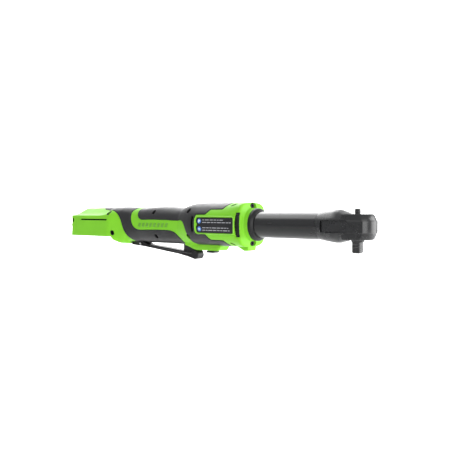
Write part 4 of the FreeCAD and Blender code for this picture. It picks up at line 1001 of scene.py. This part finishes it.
def bay_profile(with_rail):
    """Half of the bay's inside, from its lower edge to the middle of the roof, as (y, z)."""
    depth = RAIL_DEPTH if with_rail else 0.0
    wall = BAY_HALF_WIDTH
    return [(35.5, -20.6), (35.2, -21.0), (wall + 0.6, -21.0), (wall, -20.4),
            (wall, RAIL_LOW), (wall - depth, RAIL_LOW + 0.3), (wall - depth, RAIL_HIGH - 0.3),
            (wall, RAIL_HIGH), (wall, 4.5), (wall - 0.3, 5.2), (wall - 1.0, BAY_ROOF), (0.0, BAY_ROOF)]


def bay_piece(sign, side, skin):
    """The inside of the battery foot with its rail, rear face and front wall."""
    rings = [(FOOT_REAR + 0.6, False), (FOOT_REAR + RAIL_START, False), (FOOT_REAR + RAIL_START, True),
             (BAY_FRONT, True)]
    points = []
    for x, rail in rings:
        for y, z in bay_profile(rail):
            shift = float(rear_trim(z)) if x < FOOT_REAR + 2 else 0.0
            points.append((x + shift, sign * y, z))
    size = len(bay_profile(True))
    faces = grid_faces(len(rings), size)
    # The rear face fills the gap between the bay's mouth and the skin's rear edge.
    start = len(points)
    points += [(FOOT_REAR + 0.02 + float(rear_trim(z)), sign * y, z)
               for _, y, z in skin.table[0] if z > -19.9 or y > 34.3]
    loop = list(range(start, len(points))) + list(range(size))
    flat = [Vector((0, points[i][1], points[i][2])) for i in loop]
    for triangle in tessellate_polygon([flat]):
        faces.append([loop[i] for i in triangle])
    # The front wall is a grid with a window for the terminals in its middle.
    wall = grid_faces(len(WALL_Y), len(WALL_Z), len(points))
    del wall[WINDOW_CELL]
    faces += wall
    points += [(BAY_FRONT, sign * y, z) for y in WALL_Y for z in WALL_Z]
    made = raw_piece("battery_bay_" + side, points, faces)
    mend(made, 0.02)
    return finished(made, "housing", "green_plastic", sharp=30.0)


def screw_wells(skin):
    """Black tubes that lead from the holes in the right-hand skin down to the housing screws: painted
    shade inside the holes.
    """
    for index, (x0, z0, lean) in enumerate(SCREW_HOLES):
        c, s = cos_sin(lean)
        rings = []
        for inset, floor in ((0.5, None), (0.05, None), (0.05, WELL_FLOOR), (0.5, WELL_FLOOR)):
            ring = []
            for turn in np.radians(np.arange(5, 365, 10)):
                u = (HOLE_RADIUS - inset) * math.cos(turn)
                v = (HOLE_RADIUS - inset) * math.sin(turn) + math.copysign(HOLE_STRAIGHT, math.sin(turn))
                x, z = x0 + u * c - v * s, z0 + u * s + v * c
                ring.append((x, 0.3 - skin.half_width(x, z) if floor is None else floor, z))
            rings.append(ring)
        made = bar_piece("screw_well_%d" % (index + 1), rings + rings[:1], caps=False)
        # The wells are black as painted shade inside the holes.
        finished(made, "housing", "black_plastic")


def pivot_ear(sign, side):
    """A cheek of the housing beside the lever's pivot pin."""
    ear = [[(x, sign * y, z) for x, z in EAR_OUTLINE] for y in (7.4, 9.9)]
    finished(bar_piece("pivot_ear_" + side, ear), "housing", "black_plastic")


def screw_pocket(name, end):
    """The flared pocket that a cap screw lies in; each ring is (x, half width, half height)."""
    rings = []
    for x, wide, high in ((-149.9, 6.2, 3.9), (-154.8, 4.4, 3.7), (-154.8, 0.3, 0.3),
                          (-155.8, 0.3, 0.3), (-155.8, 5.2, 4.5), (-150.3, 7.0, 4.6)):
        rings.append([(x, wide * math.cos(turn), end * CAP_SCREW_Z + high * math.sin(turn))
                      for turn in np.radians(np.arange(0, 360, 9))])
    finished(bar_piece(name, rings + rings[:1], caps=False), "housing", "green_plastic", sharp=30.0)


right_skin = Skin(-1)
for sign, side in SIDES:
    bay_piece(sign, side, right_skin)
screw_wells(right_skin)
for sign, side in SIDES:
    pivot_ear(sign, side)
screw_pocket("upper_pocket", 1)
screw_pocket("lower_pocket", -1)

# ------------------------ CAD pieces with rounded edges

SOFTENED = [("anvil", 0.6), ("clamp_collar", 0.6), ("head_cover", 0.15), ("rubber_stub", 0.7),
            ("terminal_block", 0.4), ("terminal_blades", 0.2), ("led_lens", 0.3),
            ("housing_screws", 0.2)]
for node, width in SOFTENED:
    softened(node, width)

# ------------------------ ratchet head

HEAD_HALF, NOSE_RADIUS = 17.0, 22.5
FLAT_LOW, FLAT_HIGH, FLAT_REAR = -7.5, 6.9, -39.5
HEAD_TOP, HEAD_BOTTOM = 14.3, -15.3
# x, half width, half height above, half height below
NECK = [(-47.4, 14.4, 14.4, 14.4), (-47.4, 16.6, 16.6, 16.6), (-47.0, 17.0, 17.0, 17.0),
        (-44.0, 17.6, 17.6, 17.6), (-36.0, 18.8, 18.8, 18.8), (-27.0, 19.85, 19.85, 19.85),
        (-26.0, 20.0, 19.9, 19.9), (-20.5, 20.0, 19.5, 19.6), (-19.5, 20.0, 19.2, 19.3),
        (-14.0, 19.9, 17.4, 17.9), (-9.0, 19.8, 15.4, 16.2), (-5.5, 19.5, 14.0, 14.9),
        (-3.0, 18.6, 12.8, 13.6), (-1.0, 16.6, 11.0, 12.0), (0.0, 14.0, 9.0, 10.0)]


def head_outline(rear, inset):
    """Half-round plan of the head from its rear corner round the nose, drawn in by inset."""
    half, radius = HEAD_HALF - inset[0], NOSE_RADIUS - inset[1]
    turn = math.asin(min(1.0, half / radius))
    nose = [(radius * math.cos(a), radius * math.sin(a)) for a in np.linspace(-turn, turn, 33)]
    return [(rear, -half)] + nose + [(rear, half)]


def stacked_piece(name, rear, layers):
    """A block built up from plans of the head; each layer is (z, side inset, nose inset)."""
    made = bar_piece(name, [[(x, y, z) for x, y in head_outline(rear, (side, nose))]
                            for z, side, nose in layers])
    return finished(made, "housing", "head_steel", sharp=24.0)


def neck_piece():
    """The round neck, with flats and a groove cut into its sides."""
    turns = np.radians(np.arange(0, 360, 3.0))
    sections = []
    for x, half, above, below in NECK:
        sections.append([(x, half * math.cos(a), (above if math.sin(a) > 0 else below) * math.sin(a))
                         for a in turns])
    made = bar_piece("head_neck", sections)
    tools = []
    for sign in (-1, 1):
        side = sorted((sign * (HEAD_HALF - 0.6), sign * 26.0))
        tools.append(box_piece("flat_tool", (FLAT_REAR, side[0], FLAT_LOW), (8.0, side[1], FLAT_HIGH)))
        side = sorted((sign * 15.0, sign * 26.0))
        tools.append(box_piece("groove_tool", (FLAT_REAR, side[0], FLAT_LOW + 0.6),
                               (FLAT_REAR + 1.7, side[1], FLAT_HIGH - 0.6)))
    cut_away(made, tools)
    return finished(made, "housing", "head_steel", sharp=20.0, stands_for=("ratchet_head",))


neck_piece()
stacked_piece("head_band", -37.6, [
    (FLAT_LOW, 0.5, 0.5), (FLAT_LOW + 0.5, 0.0, 0.0), (FLAT_HIGH - 0.5, 0.0, 0.0),
    (FLAT_HIGH, 0.5, 0.5)])
stacked_piece("head_upper_cap", -12.0, [
    (FLAT_HIGH - 1.0, 0.5, 0.9), (FLAT_HIGH + 0.9, 0.5, 1.1), (HEAD_TOP - 1.6, 0.8, 3.4),
    (HEAD_TOP - 0.4, 1.2, 4.3), (HEAD_TOP, 1.7, 4.9)])
stacked_piece("head_lower_cap", -12.0, [
    (HEAD_BOTTOM, 1.7, 4.6), (HEAD_BOTTOM + 0.4, 1.2, 4.0), (HEAD_BOTTOM + 2.2, 0.8, 2.6),
    (FLAT_LOW - 0.9, 0.5, 1.0), (FLAT_LOW + 1.0, 0.5, 0.9)])


def knob_piece():
    """The direction knob: a paddle with softened corners on a short, slightly narrower foot."""
    c, s = cos_sin(-20)
    sections = []
    for z, inset in ((11.0, 0.35), (14.2, 0.35), (14.6, 0.0), (19.9, 0.0), (20.3, 0.2), (20.5, 0.6)):
        loop = []
        for cx, cy, start in ((1, 1, 0), (-1, 1, 90), (-1, -1, 180), (1, -1, 270)):
            for turn in np.linspace(start, start + 90, 5):
                u = cx * 2.6 + (0.9 - inset) * math.cos(math.radians(turn))
                v = cy * 1.0 + (0.9 - inset) * math.sin(math.radians(turn))
                loop.append((u * c - v * s, u * s + v * c, z))
        sections.append(loop)
    made = bar_piece("knob_paddle", sections)
    return finished(made, "selector", "drive_steel", sharp=30.0, stands_for=("direction_knob",))


knob_piece()

# ------------------------ lever and cap screws

LEVER_HALF_WIDTH = 7.0
# x, top, bottom
LEVER = [(-374.0, -28.6, -32.4), (-372.8, -27.8, -33.4), (-362.0, -27.6, -34.0),
         (-352.0, -27.8, -34.8), (-346.0, -29.0, -35.3), (-340.5, -31.6, -35.9),
         (-336.0, -32.4, -36.4), (-322.0, -33.4, -38.0), (-306.0, -34.9, -39.9),
         (-278.0, -37.6, -43.0), (-262.0, -38.8, -45.8), (-256.6, -39.0, -46.8),
         (-251.0, -39.0, -48.4)]


def lever_blade():
    """A hollow-sided blade with a sight hole near its pivot."""
    sections = []
    rim, web = 1.2, 0.9
    for x, top, bottom in LEVER:
        half = LEVER_HALF_WIDTH - (0.4 if x == LEVER[0][0] else 0.0)
        side = [(half - 0.3, top), (half, top - 0.3), (half, top - rim), (half - web, top - rim - 0.5),
                (half - web, bottom + rim + 0.4), (half, bottom + rim), (half, bottom + 0.4),
                (half - 0.4, bottom)]
        sections.append([(x, y, z) for y, z in side] + [(x, -y, z) for y, z in reversed(side)])
    blade = bar_piece("lever_blade", sections)
    cut_away(blade, [box_piece("sight_tool", (-358.2, -9.0, -31.2), (-356.3, 9.0, -29.3))])
    finished(blade, "lever", SLOTS["lever"], sharp=30.0, stands_for=("lever",))


def lever_rib(sign, side):
    """A rib along the front part of the blade's side, pale grey as a painted highlight."""
    rib = []
    inner, outer = sign * (LEVER_HALF_WIDTH - 1.2), sign * (LEVER_HALF_WIDTH - 0.5)
    for x, top, bottom in LEVER[6:]:
        high = top - 1.9
        rib.append([(x, inner, high), (x, outer, high - 0.2), (x, outer, high - 1.0),
                    (x, inner, high - 1.2)])
    finished(bar_piece("lever_rib_" + side, rib), "lever", SLOTS["lever"], RIB_PAINTED_HIGHLIGHT)


def lever_toe():
    """The round end below the switch."""
    rings = [(-7.0, 5.6), (-6.0, 6.5), (6.0, 6.5), (7.0, 5.6), (7.0, 0.3), (-7.0, 0.3)]
    toe = turned_piece("lever_toe", rings, "Y", (-246.6, 0, -43.0), 48)
    finished(toe, "lever", SLOTS["lever"], sharp=30.0)


def lever_block():
    """The block that reaches up to the switch; its rear is slanted at the bottom."""
    block = []
    for z, front, rear in ((-27.5, -248.8, -267.7), (-28.0, -248.3, -268.2), (-38.0, -248.3, -268.2),
                           (-44.0, -248.3, -263.0)):
        block.append([(rear, -5.1, z), (rear + 0.5, -5.5, z), (front - 0.6, -5.5, z), (front, -5.0, z),
                      (front, 5.0, z), (front - 0.6, 5.5, z), (rear + 0.5, 5.5, z), (rear, 5.1, z)])
    finished(bar_piece("lever_block", block), "lever", SLOTS["lever"], sharp=30.0)


lever_blade()
for sign, side in SIDES:
    lever_rib(sign, side)
lever_toe()
lever_block()


def cap_screw_piece(name, z):
    """A socket cap screw lying in the front of the housing."""
    made = turned_piece(name, [(-157.0, 0.2), (-157.0, 3.5), (-151.3, 3.5), (-150.7, 3.0),
                               (-150.7, 1.7), (-153.4, 1.5), (-153.4, 0.2)], "X", (0, 0, z), 40)
    return finished(made, "housing", "screw_steel", sharp=30.0, stands_for=("case_screws",))


cap_screw_piece("cap_screw_upper", CAP_SCREW_Z)
cap_screw_piece("cap_screw_lower", -CAP_SCREW_Z)

# ------------------------ floor, light and camera, in metres


def sweep_floor():
    """A pale paper sweep that turns up behind the tool as seen from the camera."""
    camera_way = Vector((-0.637, 0.771, 0))
    across = Vector((camera_way.y, -camera_way.x, 0))
    centre = Vector((-0.22, 0, -0.30))
    flat, bend = 1.1, 1.28
    path = [(-2.6, 0.0), (flat, 0.0)]
    path += [(flat + bend * math.sin(a), bend * (1 - math.cos(a)))
             for a in np.linspace(0.05, math.pi / 2, 14)]
    path += [(flat + bend, bend + 2.4)]
    points = [tuple(centre + camera_way * along + across * side + Vector((0, 0, up)))
              for along, up in path for side in (-4.5, 4.5)]
    mesh = bpy.data.meshes.new("studio_sweep")
    mesh.from_pydata(points, [], grid_faces(len(path), 2))
    mesh.shade_smooth()
    made = placed("studio_sweep", mesh)
    paper = Shader("studio_paper")
    paper.colour(paper.noise(300, 2.0), (0.78, 0.78, 0.78), (0.82, 0.82, 0.82))
    paper.set(Roughness=0.9, Specular_IOR_Level=0.1)
    made.data.materials.append(paper.material)


def soft_light(name, place, target, size, power):
    data = bpy.data.lights.new(name, "AREA")
    data.shape = "RECTANGLE"
    data.size, data.size_y = size
    data.energy = power
    made = placed(name, data)
    made.location = place
    aim = Vector(target) - Vector(place)
    made.rotation_euler = aim.to_track_quat("-Z", "Y").to_euler()


sweep_floor()
soft_light("top_softbox", (-1.15, 0.42, 1.46), (-0.1, 0.42, 0.12), (2.5, 0.68), 20)
soft_light("right_softbox", (1.0, 1.0, 0.25), (-0.1, 0.0, 0.03), (1.2, 1.2), 24)
soft_light("nose_softbox", (1.5, -0.6, 0.3), (-0.05, 0.0, 0.03), (0.9, 1.0), 13)
soft_light("back_wash", (-1.0, 0.9, 1.6), (-1.2, 2.2, 0.6), (2.5, 1.2), 110)
world = bpy.data.worlds.new("studio")
world.use_nodes = True
world.node_tree.nodes["Background"].inputs["Color"].default_value = (0.95, 0.97, 1.0, 1)
world.node_tree.nodes["Background"].inputs["Strength"].default_value = 0.68
bpy.context.scene.world = world
bpy.context.scene.view_settings.view_transform = "Standard"

CAMERA_PLACE = Vector((0.3495, -0.6618, 0.0197 + AXIS))
CAMERA_TURN, CAMERA_TILT = 39.56, 1.405       # degrees to the left, degrees down
camera_data = bpy.data.cameras.new("photo_angle")
camera_data.sensor_width = 36
camera_data.lens = 51.2
camera = placed("photo_angle", camera_data)
camera.location = CAMERA_PLACE
camera.rotation_euler = (math.radians(90 - CAMERA_TILT), 0, math.radians(CAMERA_TURN))
bpy.context.scene.camera = camera
